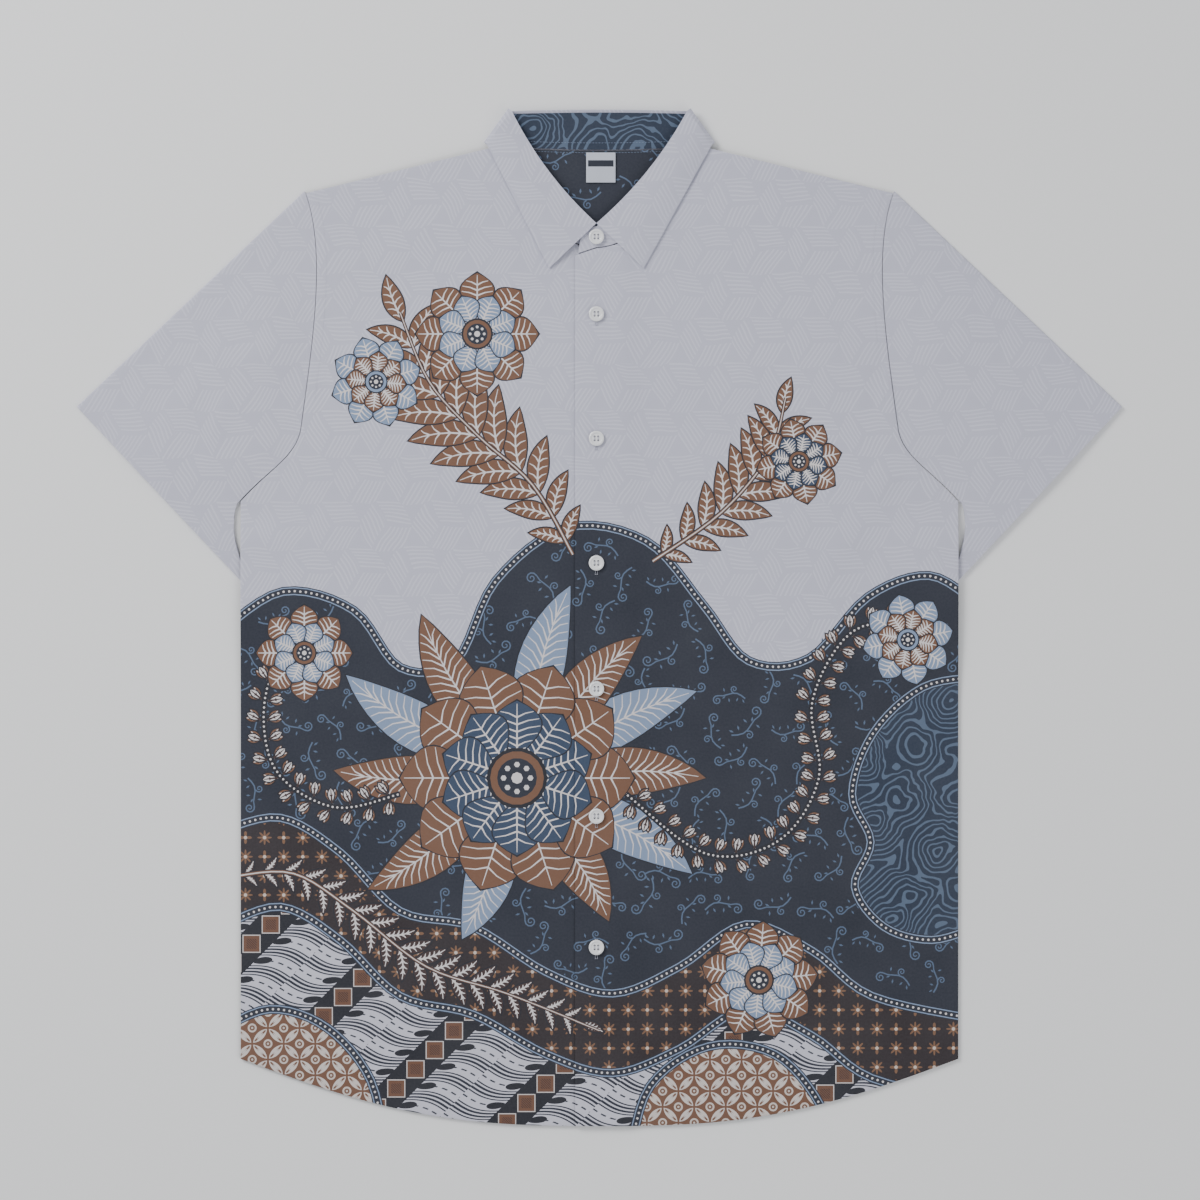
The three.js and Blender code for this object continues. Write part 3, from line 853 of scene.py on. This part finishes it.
def side_edge(side):
    """The side seam and armhole, from the hem up to the shoulder."""
    return [
        *straight((side * HALF_CHEST, HEM_RISE), (side * HALF_CHEST, UNDERARM_Y))[:-1],
        *bezier(mirrored(ARMHOLE_LOW, side), 14)[:-1],
        *bezier(mirrored(ARMHOLE_HIGH, side), 40),
    ]


def neck_seam(side):
    return [
        (BUTTON_LINE_X, FRONT_NECK_Y), (BUTTON_LINE_X + side * 33, FRONT_NECK_Y + 1.5),
        (side * 76, 703), (side * NECK[0], NECK[1]),
    ]


def crease(x, y, start, end, height, width):
    """A soft ridge, or a trough if height is below 0, that dies out at both ends."""
    run = np.array(end, float) - np.array(start, float)
    length = np.linalg.norm(run)
    run /= length
    along = ((x - start[0]) * run[0] + (y - start[1]) * run[1]) / length
    across = (x - start[0]) * -run[1] + (y - start[1]) * run[0]
    bend = across - 0.05 * length * np.sin(np.pi * np.clip(along, 0, 1))
    ends = step(along, 0.0, 0.35) * (1 - step(along, 0.6, 1.0))
    return height * ends * np.exp(-(bend / width) ** 2)


def back_lift(x, y):
    neck = 1.8 * step(y, 620, 720) * (1 - step(np.abs(x), 92, 190))
    tuck = 3.3 * step(np.abs(x), 190, 257) * step(y, 310, 395) * (1 - step(y, 436, 466))
    return neck + tuck


# Each crease has its two ends, its height and its half width.
FRONT_CREASES = [
    ((232, 520), (150, 400), 1.1, 11), ((240, 492), (178, 452), -0.6, 7), ((205, 560), (140, 640), 0.8, 13),
    ((214, 600), (196, 520), -0.6, 6), ((60, 640), (120, 520), 0.7, 16), ((30, 500), (150, 470), 0.5, 15),
    ((255, 300), (120, 330), 0.9, 18), ((250, 180), (130, 230), -0.6, 15), ((40, 330), (60, 160), 0.7, 13),
    ((190, 120), (230, 40), 0.7, 15), ((90, 120), (110, 10), 0.6, 12), ((100, 700), (180, 640), 0.6, 10),
]


def creases(x, y, side, table):
    total = np.zeros_like(x)
    for k, (start, end, height, width) in enumerate(table):
        shift = 9 * math.sin(4.1 * k) if side < 0 else 0
        total += crease(x * side, y + shift, start, end, height, width)
    return total


def front_top(x, y, side):
    inward = HALF_CHEST - np.abs(x)
    loft = 3 * step(inward, 0, 110) * step(y, 20, 150) * (1 - step(y, 540, 640))
    over = (CLOTH + AIR) * (1 - step(x, BUTTON_LINE_X + LAP + 3, BUTTON_LINE_X + LAP + 22)) if side > 0 else 0
    return back_lift(x, y) + 2 * CLOTH + AIR + loft + over + creases(x, y, side, FRONT_CREASES)


def front(name, side):
    edge_x = BUTTON_LINE_X - side * LAP
    outline = joined(
        hem_run(edge_x, side * HALF_CHEST),
        side_edge(side),
        straight((side * SHOULDER[0], SHOULDER[1]), (side * NECK[0], NECK[1])),
        bezier(neck_seam(side), 30)[::-1],
        straight((BUTTON_LINE_X, FRONT_NECK_Y), (edge_x, LAP_TOP_Y)),
        straight((edge_x, LAP_TOP_Y), (edge_x, float(hem_y(edge_x)))),
    )
    piece = cloth_piece(name + "_panel", cotton, outline, lambda x, y: front_top(x, y, side), "hatch", front_print)
    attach(piece, "root")
    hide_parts(name)
    return piece


front("front_right", -1)
front("front_left", 1)


# Back.
# One panel of the same cotton, printed all over with scrolls. It lies underneath, on the table, and its inside
# shows within the collar. Its neck edge rides over the hidden part of the fall.
back_print = Drawing()
back_wave = smooth([(-x, y + 6) for x, y in wave_top[::6]][::-1])
back_low = smooth([(-x, y + 6) for x, y in wave_low[::6]][::-1])
over_wave = below(back_wave)
back_print.scroll_work(lambda x, y: not over_wave(x, y - 10), (-265, 80), (265, 735), 36.0, "blue", 11)
back_print.fill(down_to(back_wave), "stars")
back_print.fill(down_to(back_low), "parang")
back_print.border(back_wave)
back_print.border(back_low)

back_cotton = printed_cotton("printed cotton, navy", ["stars", "parang"])
back_outline = joined(
    hem_run(-HALF_CHEST, HALF_CHEST),
    side_edge(1),
    straight(SHOULDER, NECK),
    bezier([NECK, (NECK[0] / 2, 733), (-NECK[0] / 2, 733), (-NECK[0], NECK[1])], 36),
    straight((-NECK[0], NECK[1]), (-SHOULDER[0], SHOULDER[1])),
    side_edge(-1)[::-1],
)
back = cloth_piece(
    "back_panel", back_cotton, back_outline, lambda x, y: back_lift(x, y) + CLOTH, "navy", back_print
)
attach(back, "root")
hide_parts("back")


# Sleeves.
# Each is one piece of cotton sewn to a tube along the underarm and set into the armhole. It lies flattened,
# with a fold along its upper edge, and its lower corner is tucked under the body.
SEAM = 0.5
CUFF_TOP = (392.0, 540.0)
CUFF_UNDER = (260.5, 400.5)
SLEEVE_LOFT = 3.0
HIGH_SHARE = 0.7  # of the armhole is its upper curve

# Each crease runs across the sleeve, by its share of the way from fold to underarm and from armhole to cuff.
SLEEVE_CREASES = [
    ((0.55, 0.02), (0.35, 0.55), 0.9, 0.05),
    ((0.75, 0.05), (0.62, 0.6), -0.5, 0.04),
    ((0.2, 0.1), (0.5, 0.9), 0.6, 0.06),
    ((0.9, 0.2), (0.7, 0.9), 0.7, 0.05),
    ((0.1, 0.5), (0.3, 0.95), 0.5, 0.05),
    ((0.45, 0.35), (0.8, 0.75), 0.5, 0.05),
]


def at_bezier(points, t):
    a, b, c, d = [np.array(p, float) for p in points]
    t = np.asarray(t, float)[..., None]
    return a * (1 - t) ** 3 + 3 * b * t * (1 - t) ** 2 + 3 * c * t * t * (1 - t) + d * t**3


def blend(a, b, share):
    return a + (b - a) * share


def grid_normals(grid, ring):
    """Outward normals of a grid of points, whose columns may close to a ring."""
    along = np.gradient(grid, axis=0)
    if ring:
        across = (np.roll(grid, -1, axis=1) - np.roll(grid, 1, axis=1)) / 2
    else:
        across = np.gradient(grid, axis=1)
    normals = np.cross(across, along)
    return normals / np.linalg.norm(normals, axis=2)[:, :, None]


def cloth_wall(name, material, grid, thick, dye, inner=None, ring=False):
    """A closed wall through a grid of points on its middle surface. inner is the dye of its other face."""
    rows, cols, _ = grid.shape
    normals = grid_normals(grid, ring)
    sides = [grid + normals * thick / 2, grid - normals * thick / 2]
    places = np.concatenate([side.reshape(-1, 3) for side in sides]) + (0, HEM_Y, 0)
    faces = []
    dyes = []
    width = cols if ring else cols - 1

    def upper(i, j):
        return i * cols + j % cols

    def lower(i, j):
        return rows * cols + upper(i, j)

    def put(face, shade):
        faces.append(face)
        dyes.append(dye_of(shade))

    for i in range(rows - 1):
        for j in range(width):
            put((upper(i, j), upper(i, j + 1), upper(i + 1, j + 1), upper(i + 1, j)), dye)
            put((lower(i, j), lower(i + 1, j), lower(i + 1, j + 1), lower(i, j + 1)), inner or dye)
    for j in range(width):
        put((lower(0, j), lower(0, j + 1), upper(0, j + 1), upper(0, j)), dye)
        last = rows - 1
        put((lower(last, j + 1), lower(last, j), upper(last, j), upper(last, j + 1)), dye)
    for i in range(0 if ring else rows - 1):
        put((lower(i + 1, 0), lower(i, 0), upper(i, 0), upper(i + 1, 0)), dye)
        last = cols - 1
        put((lower(i, last), lower(i + 1, last), upper(i + 1, last), upper(i, last)), dye)
    mesh = bpy.data.meshes.new(name)
    mesh.from_pydata((places / 1000).tolist(), [], faces)
    write_dyes(mesh, [colour for colour, _ in dyes], [ground for _, ground in dyes])
    mesh.shade_smooth()
    mesh.set_sharp_from_angle(angle=math.radians(50))
    return new_object(name, mesh, material)


def sleeve(name, side):
    shift = np.array([SEAM, 0.7 * SEAM])
    pit = (HALF_CHEST + SEAM, UNDERARM_Y)
    across = np.concatenate([np.linspace(0, HIGH_SHARE, 30), np.linspace(HIGH_SHARE, 1, 18)[1:]])
    along = np.linspace(0, 1, 44)

    def armhole(q):
        high = at_bezier(ARMHOLE_HIGH[::-1], np.clip(q / HIGH_SHARE, 0, 1))
        low = at_bezier([*ARMHOLE_LOW[:0:-1], pit], np.clip((q - HIGH_SHARE) / (1 - HIGH_SHARE), 0, 1))
        return np.where((q < HIGH_SHARE)[:, None], high, low) + shift

    def cuff(q):
        share = np.where(q < HIGH_SHARE, q / HIGH_SHARE / 2, 0.5 + (q - HIGH_SHARE) / (1 - HIGH_SHARE) / 2)
        return blend(np.array(CUFF_TOP), np.array(CUFF_UNDER), share[:, None]) + shift

    fold = blend(np.array(SHOULDER), np.array(CUFF_TOP), along[:, None]) + shift
    under = at_bezier(
        [pit, (HALF_CHEST + 11, UNDERARM_Y), (HALF_CHEST + 6, UNDERARM_Y - 36), CUFF_UNDER], along
    ) + shift
    q = across[None, :, None]
    t = along[:, None, None]
    ends = blend(armhole(across)[None], cuff(across)[None], t)
    sides = blend(fold[:, None], under[:, None], q)
    corners = blend(blend(fold[0], under[0], q), blend(fold[-1], under[-1], q), t)
    flat = sides + ends - corners
    share_q, share_t = np.meshgrid(across, along)
    opening = step(share_t, 0, 0.3) * (1 - 0.4 * share_t)
    loft = SLEEVE_LOFT * opening * np.sin(np.pi * share_q) ** 2
    rough = sum(crease(share_q, share_t, a, b, tall, wide) for a, b, tall, wide in SLEEVE_CREASES)
    high_z = 1.5 * CLOTH + AIR + loft + rough * np.sin(np.pi * share_q)
    low_z = np.full_like(high_z, CLOTH / 2)
    high = np.dstack([flat, high_z])
    low = np.dstack([flat, low_z])[:, ::-1]
    radius = (CLOTH + AIR) / 2

    def turn(edge, inside, angles):
        away = edge - inside
        away /= np.linalg.norm(away, axis=1)[:, None]
        return np.stack([
            np.column_stack([
                edge + away * radius * math.sin(a),
                np.full(len(edge), CLOTH / 2 + radius + radius * math.cos(a)),
            ])
            for a in angles
        ], axis=1)

    angles = [math.pi / 4, math.pi / 2, 3 * math.pi / 4]
    outer = turn(flat[:, -1], flat[:, -2], angles)
    inner = turn(flat[:, 0], flat[:, 1], angles[::-1])
    rings = np.concatenate([high, outer, low, inner], axis=1)
    rings[:, :, 0] *= side
    if side < 0:
        rings = rings[:, ::-1]
    piece = cloth_wall(name + "_tube", cotton, rings[::-1], CLOTH, "hatch", ring=True)
    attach(piece, "root")
    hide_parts(name)


sleeve("sleeve_right", -1)
sleeve("sleeve_left", 1)


# Collar.
# A stand that is sewn to the neck seam and buttons at the front, and a fall that is sewn to the stand's top
# edge and turned down over it. The fall lies over the fronts and, behind, under the back.
FOLD_END_Y = 679.2
FOLD_CORNER = np.array([66.0, 763.5])
FOLD_BOW = 5.0
LEAF_CORNER = np.array([84.5, 738.5])
LEAF_TIP = (35.5, 645.5)
FALL_BACK_Y = 722.0
BACK_NECK_Y = 734.0
STAND_INSET = 2.4
NECK_LIFT = 1.8
STAND_CORNER_STEPS = 5
FALL_Z = {"front": 7.4, "corner": 10.4, "behind": 5.1}
STAND_Z = {"under": 3.0, "over": 5.6, "corner": 8.5, "behind": 6.8}


def fold_point(side, t):
    start = np.array([BUTTON_LINE_X, FOLD_END_Y])
    end = FOLD_CORNER * (side, 1)
    way = (end - start) / np.linalg.norm(end - start)
    control = (start + end) / 2 + 2 * FOLD_BOW * side * np.array([way[1], -way[0]])
    return start * (1 - t) ** 2 + 2 * control * t * (1 - t) + end * t * t


def level(side, place):
    """The height of the top of a front at a place."""
    x, y = np.array([float(place[0])]), np.array([float(place[1])])
    return float(front_top(x, y, side)[0])


def turned(near, far, steps):
    """Sections round a corner. near and far each give a place, an upper and a lower height."""
    away = np.array(far[0]) - np.array(near[0])
    outward = np.array([-away[1], away[0]]) / np.linalg.norm(away)
    if outward[0] * near[0][0] < 0:
        outward = -outward
    sections = []
    for k in range(1, steps + 1):
        angle = math.pi * k / (steps + 1)
        ends = []
        for place, high, low in (near, far):
            radius = (high - low) / 2
            spot = np.array(place) + outward * radius * math.sin(angle)
            ends.append(np.array([*spot, (high + low) / 2 + radius * math.cos(angle)]))
        sections.append((*ends, None))
    return sections


def band(sections, across):
    """Rows of points across each section, from its near end to its far one. shape gives their heights."""
    rows = []
    for near, far, shape in sections:
        row = near + (far - near) * across[:, None]
        if shape is not None:
            row[:, 2] = [shape(w, p) for w, p in zip(across, row)]
        rows.append(row)
    return np.array(rows)


def front_side(x):
    return 1 if x > BUTTON_LINE_X - LAP else -1


def leaf_sections(side):
    sections = []
    for t in np.linspace(0, 1, 40):
        near = fold_point(side, t)
        tip = np.array([BUTTON_LINE_X + side * LEAF_TIP[0], LEAF_TIP[1]])
        far = tip + (LEAF_CORNER * (side, 1) - tip) * t
        near_z = FALL_Z["front"] + (FALL_Z["corner"] - FALL_Z["front"]) * t

        def rest(p):
            return level(front_side(p[0]), p) + AIR + 0.2 + CLOTH / 2

        far_z = rest(far)

        def shape(w, p, near_z=near_z, far_z=far_z):
            return max(far_z + (near_z - far_z) * (1 - w**2.4), rest(p)) + 0.5 * math.sin(math.pi * w) ** 2

        sections.append((np.array([*near, near_z]), np.array([*far, far_z]), shape))
    return sections


def fall_behind():
    sections = []
    for x in np.linspace(-1, 1, 48):
        near = np.array([x * FOLD_CORNER[0], FOLD_CORNER[1] + 1.2 * (1 - x * x), FALL_Z["behind"]])
        dip = (LEAF_CORNER[1] - FALL_BACK_Y) * (1 - x**4)
        far = np.array([x * LEAF_CORNER[0], LEAF_CORNER[1] - dip, CLOTH / 2])

        def shape(w, p, near=near, far=far):
            return far[2] + (near[2] - far[2]) * max(0.0, 1 - w / 0.6)

        sections.append((near, far, shape))
    return sections


def fall_corner(side):
    high = level(side, LEAF_CORNER * (side, 1)) + AIR + CLOTH / 2
    near = (FOLD_CORNER * (side, 1), FALL_Z["corner"], FALL_Z["behind"])
    far = (LEAF_CORNER * (side, 1), high, CLOTH / 2)
    return turned(near, far, 7)


fall_sections = [
    *leaf_sections(-1), *fall_corner(-1), *fall_behind(), *fall_corner(1)[::-1], *leaf_sections(1)[::-1],
]
fall_across = 1 - np.cos(np.linspace(0, np.pi / 2, 26)) ** 0.8
fall_across = fall_across / fall_across[-1]
fall = cloth_wall("fall", cotton, band(fall_sections, fall_across), CLOTH, "hatch")
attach(fall, "root")
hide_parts("collar_fall")


def stand_section(fold, seam, fold_z, seam_z):
    inward = (seam - fold) / np.linalg.norm(seam - fold)
    return (
        np.array([*(fold + inward * STAND_INSET), fold_z]),
        np.array([*(seam - inward * 1.6 * SEAM), seam_z]),
        None,
    )


def stand_front(side):
    sections = []
    fold_z = STAND_Z["over"] if side > 0 else STAND_Z["under"]
    for share in np.linspace(1, 0.1, 10):
        x = BUTTON_LINE_X - side * share * (LAP - 2)
        seam = np.array([x, FRONT_NECK_Y + (LAP_TOP_Y + 1 - FRONT_NECK_Y) * share])
        fold = np.array([x + side * 2.5 * share, FOLD_END_Y - 8 * share * share])
        sections.append(stand_section(fold, seam, fold_z, level(side, seam) - CLOTH / 2))
    for t in np.linspace(0, 1, 36):
        seam = at_bezier(neck_seam(side), t)
        z = fold_z + (STAND_Z["corner"] - fold_z) * t
        sections.append(stand_section(fold_point(side, t), seam, z, level(side, seam) - CLOTH / 2))
    return sections


def stand_behind():
    sections = []
    for x in np.linspace(-1, 1, 48):
        fold = np.array([x * FOLD_CORNER[0], FOLD_CORNER[1] + 1.2 * (1 - x * x)])
        seam = np.array([x * NECK[0], BACK_NECK_Y + (NECK[1] - BACK_NECK_Y) * x * x])
        sections.append(stand_section(fold, seam, STAND_Z["behind"], NECK_LIFT + CLOTH / 2))
    return sections


def stand_corner(last, first):
    return turned(*[(last[k][:2], last[k][2], first[k][2]) for k in (0, 1)], STAND_CORNER_STEPS)


right_stand = stand_front(-1)
left_stand = stand_front(1)
behind_stand = stand_behind()
stand_sections = [
    *right_stand,
    *stand_corner(right_stand[-1], behind_stand[0]),
    *behind_stand,
    *stand_corner(left_stand[-1], behind_stand[-1])[::-1],
    *left_stand[::-1],
]
stand_cotton = printed_cotton("printed cotton, blue", ["hatch", "contour"])
stand_wall = band(stand_sections, np.linspace(0, 1, 14))
stand = cloth_wall("stand", stand_cotton, stand_wall, CLOTH, "contour", inner="hatch")
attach(stand, "root")
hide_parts("collar_stand")


# Label.
# A small woven label, plain, with one dark band. Its top edge is caught in the neck seam.
LABEL_LOW, LABEL_HIGH = [np.array(corner) * 1000 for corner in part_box("neck_label")]
label_outline = smooth([
    (LABEL_LOW[0], LABEL_LOW[1] - HEM_Y), (LABEL_HIGH[0], LABEL_LOW[1] - HEM_Y),
    (LABEL_HIGH[0], LABEL_HIGH[1] - HEM_Y), (LABEL_LOW[0], LABEL_HIGH[1] - HEM_Y),
], steps=1, closed=True)
label_next = label_outline[1:] + label_outline[:1]
label_outline = joined(*[straight(a, b, 1.5) for a, b in zip(label_outline, label_next)])
label_paint = Recipe("woven label")
lx, ly, _ = label_paint.place()
rib = (lx * 14).sin() * (ly * 14).sin()
stripe = abs(ly - (LABEL_LOW[1] + 14.3)) < 2.4
inset = abs(lx - (LABEL_LOW[0] + LABEL_HIGH[0]) / 2) < 9.6
label_colour = label_paint.mix(stripe * inset, linear(214, 219, 232), linear(38, 44, 58))
label_material = label_paint.finish(
    {"Base Color": label_colour, "Roughness": 0.55 + rib * 0.05, "Sheen Weight": 0.2}, bump=rib, distance=0.00008
)


def label_top(x, y):
    loose = step(y, LABEL_HIGH[1] - HEM_Y, LABEL_LOW[1] - HEM_Y)
    return LABEL_HIGH[2] + 0.25 * np.sin((x - LABEL_LOW[0]) * 0.28) * loose


label = cloth_piece("label", label_material, label_outline, label_top, "pale", spacing=2.0, roll=0.2)
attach(label, "root")
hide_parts("neck_label")


# Buttons.
# Seven moulded white buttons with a raised rim, a dished middle and four holes, sewn on with two bars of
# thread each. The upper one is on the stand, the others on the left front, at the top of their buttonholes.
BUTTON_RADIUS = 5.7
RIM = 1.2
DISH = 0.75
HOLE = 0.8
SPREAD = 1.35
BUTTONS = ["button_collar"] + [f"button_{k}" for k in range(1, 7)]

button_paint = Recipe("moulded button")
bx, by, _ = button_paint.place()
swirl = button_paint.noise(button_paint.vector(bx, by), 0.25, 2.0)
button_colour = button_paint.mix(swirl, linear(236, 236, 240), linear(252, 252, 252))
button_material = button_paint.finish(
    {"Base Color": button_colour, "Roughness": 0.16 + swirl * 0.12, "Coat Weight": 0.4, "Coat Roughness": 0.08},
    bump=swirl, distance=0.00005,
)


def circle(centre, radius, sides):
    return [
        point_on(centre, radius, 2 * math.pi * k / sides)
        for k in range(sides)
    ]


def button(node):
    low, high = [np.array(corner) * 1000 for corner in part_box(node)]
    centre = ((low[0] + high[0]) / 2, (low[1] + high[1]) / 2 - HEM_Y)

    def top(x, y):
        reach = np.hypot(x - centre[0], y - centre[1])
        dish = DISH * (1 - step(reach, BUTTON_RADIUS - RIM - 1.0, BUTTON_RADIUS - RIM))
        return high[2] - dish - 0.5 * step(reach, BUTTON_RADIUS - 0.8, BUTTON_RADIUS)

    def under(x, y):
        return low[2] + 0.4 * step(np.hypot(x - centre[0], y - centre[1]), BUTTON_RADIUS - 1.2, BUTTON_RADIUS)

    holes = [
        circle((centre[0] + sx * SPREAD, centre[1] + sy * SPREAD), HOLE, 12)
        for sx in (-1, 1) for sy in (-1, 1)
    ]
    piece = cloth_piece(
        node.replace("button", "shell_button"), button_material, circle(centre, BUTTON_RADIUS, 40), top, "pale",
        under=under, spacing=0.5, roll=0.0, holes=holes,
    )
    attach(piece, "root")
    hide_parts(node)
    return centre, high[2] - DISH


button_spots = {node: button(node) for node in BUTTONS}


# Stitching.
# Cotton thread a little lighter than the ground: a row along each armhole, one along the back of the stand
# and one across the back of the neck, the purled edge of each buttonhole, and the bars that hold the buttons.
def thread_material(name, colour):
    paint = Recipe(name)
    x, y, _ = paint.place()
    twist = ((x + y) * 9).sin()
    tone = paint.mix(twist * 0.15 + 0.2, colour, linear(120, 125, 145))
    return paint.finish({"Base Color": tone, "Roughness": 0.7, "Sheen Weight": 0.2}, bump=twist, distance=0.00005)


pale_thread = thread_material("pale thread", linear(226, 226, 238))
blue_thread = thread_material("blue thread", linear(120, 140, 168))


def stitch_tree(name, material, turned_across):
    """Stitches along a path: short fat grains of thread at an even pitch, along the path or across it."""
    tree = bpy.data.node_groups.new(name, "GeometryNodeTree")
    face = tree.interface
    face.new_socket("Geometry", in_out="INPUT", socket_type="NodeSocketGeometry")
    for label_text, value in (("Pitch", 0.002), ("Length", 0.0015), ("Thickness", 0.0002)):
        socket = face.new_socket(label_text, in_out="INPUT", socket_type="NodeSocketFloat")
        socket.default_value = value
    face.new_socket("Geometry", in_out="OUTPUT", socket_type="NodeSocketGeometry")
    nodes, links = tree.nodes, tree.links
    given = nodes.new("NodeGroupInput")
    curve = nodes.new("GeometryNodeMeshToCurve")
    points = nodes.new("GeometryNodeCurveToPoints")
    points.mode = "LENGTH"
    grain = nodes.new("GeometryNodeMeshIcoSphere")
    grain.inputs["Subdivisions"].default_value = 2
    size = nodes.new("ShaderNodeCombineXYZ")
    spread = nodes.new("GeometryNodeInstanceOnPoints")
    real = nodes.new("GeometryNodeRealizeInstances")
    dress = nodes.new("GeometryNodeSetMaterial")
    dress.inputs["Material"].default_value = material
    out = nodes.new("NodeGroupOutput")
    long_axis, flat_axis = ("Y", "Z") if turned_across else ("Z", "Y")
    links.new(given.outputs["Geometry"], curve.inputs["Mesh"])
    links.new(curve.outputs["Curve"], points.inputs["Curve"])
    links.new(given.outputs["Pitch"], points.inputs["Length"])
    links.new(given.outputs["Thickness"], size.inputs["X"])
    links.new(given.outputs["Thickness"], size.inputs[flat_axis])
    links.new(given.outputs["Length"], size.inputs[long_axis])
    links.new(points.outputs["Points"], spread.inputs["Points"])
    links.new(points.outputs["Rotation"], spread.inputs["Rotation"])
    links.new(grain.outputs["Mesh"], spread.inputs["Instance"])
    links.new(size.outputs["Vector"], spread.inputs["Scale"])
    links.new(spread.outputs["Instances"], real.inputs["Geometry"])
    links.new(real.outputs["Geometry"], dress.inputs["Geometry"])
    links.new(dress.outputs["Geometry"], out.inputs["Geometry"])
    return tree


def stitched(name, paths, material, pitch, length, thickness, across=False):
    """One piece of stitches along all the paths, which are in millimetres."""
    places = []
    edges = []
    for path in paths:
        start = len(places)
        places += [(x / 1000, (y + HEM_Y) / 1000, z / 1000) for x, y, z in path]
        edges += [(start + k, start + k + 1) for k in range(len(path) - 1)]
    mesh = bpy.data.meshes.new(name)
    mesh.from_pydata(places, edges, [])
    maker = bpy.data.objects.new(name + "_path", mesh)
    bpy.context.collection.objects.link(maker)
    tree = stitch_tree(name, material, across)
    modifier = maker.modifiers.new("stitches", "NODES")
    modifier.node_group = tree
    sizes = {"Pitch": pitch / 1000, "Length": length / 2000, "Thickness": thickness / 2000}
    for item in tree.interface.items_tree:
        if item.in_out == "INPUT" and item.name in sizes:
            modifier[item.identifier] = sizes[item.name]
    graph = bpy.context.evaluated_depsgraph_get()
    made = bpy.data.meshes.new_from_object(maker.evaluated_get(graph))
    bpy.data.objects.remove(maker)
    piece = bpy.data.objects.new(name, made)
    made.shade_smooth()
    bpy.context.collection.objects.link(piece)
    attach(piece, "root")
    return piece


def on_front(x, y, side, lift=0.12):
    return (x, y, level(side, (x, y)) + lift)


def beside(path, gap):
    """A path beside another, to its left."""
    line = np.array(path)
    way = np.gradient(line, axis=0)
    return line + np.stack([-way[:, 1], way[:, 0]], axis=1) / np.linalg.norm(way, axis=1)[:, None] * gap


def topstitch(side):
    edge = bezier(mirrored(ARMHOLE_HIGH, side), 40)[4:]
    return [on_front(x, y, side) for x, y in beside(edge, 7.0 * side)]


armhole_rows = stitched("armhole_stitches", [topstitch(-1), topstitch(1)], pale_thread, 2.3, 1.7, 0.3)

stand_grid = band(stand_sections, np.array([0.82]))[:, 0]
first_behind = len(right_stand) + STAND_CORNER_STEPS + 1
last_behind = first_behind + len(behind_stand) - 2
behind_row = [tuple(p + (0, 0, CLOTH / 2 + 0.1)) for p in stand_grid[first_behind:last_behind]]
neck_row = [
    (x, BACK_NECK_Y - 1.6 + 3 * (x / NECK[0]) ** 2, NECK_LIFT + CLOTH + 0.1)
    for x in np.linspace(-64, 64, 40)
]
neck_rows = stitched("neck_stitches", [behind_row, neck_row], blue_thread, 2.3, 1.8, 0.35)


def buttonhole(node):
    (x, y), _ = button_spots[node]
    ends = [y - 8.6, y + 5.9]
    loops = []
    for offset in (-0.75, 0.75):
        loops.append([on_front(x + offset, level_y, 1, 0.15) for level_y in np.linspace(*ends, 12)])
    for end in ends:
        loops.append([on_front(x + dx, end, 1, 0.2) for dx in (-1.0, 0, 1.0)])
    return loops


purl = stitched(
    "buttonhole_stitches", [loop for node in BUTTONS[1:] for loop in buttonhole(node)],
    pale_thread, 0.45, 1.3, 0.4, True,
)

bars = []
for (x, y), z in button_spots.values():
    for dx in (-SPREAD, SPREAD):
        for lean in (-0.18, 0.18):
            bars.append([
                (x + dx + lean, y + SPREAD * share, z + 0.45 * math.cos(share * math.pi / 2) - 0.1)
                for share in np.linspace(-1, 1, 9)
            ])
button_threads = stitched("button_threads", bars, pale_thread, 0.25, 0.5, 0.34)
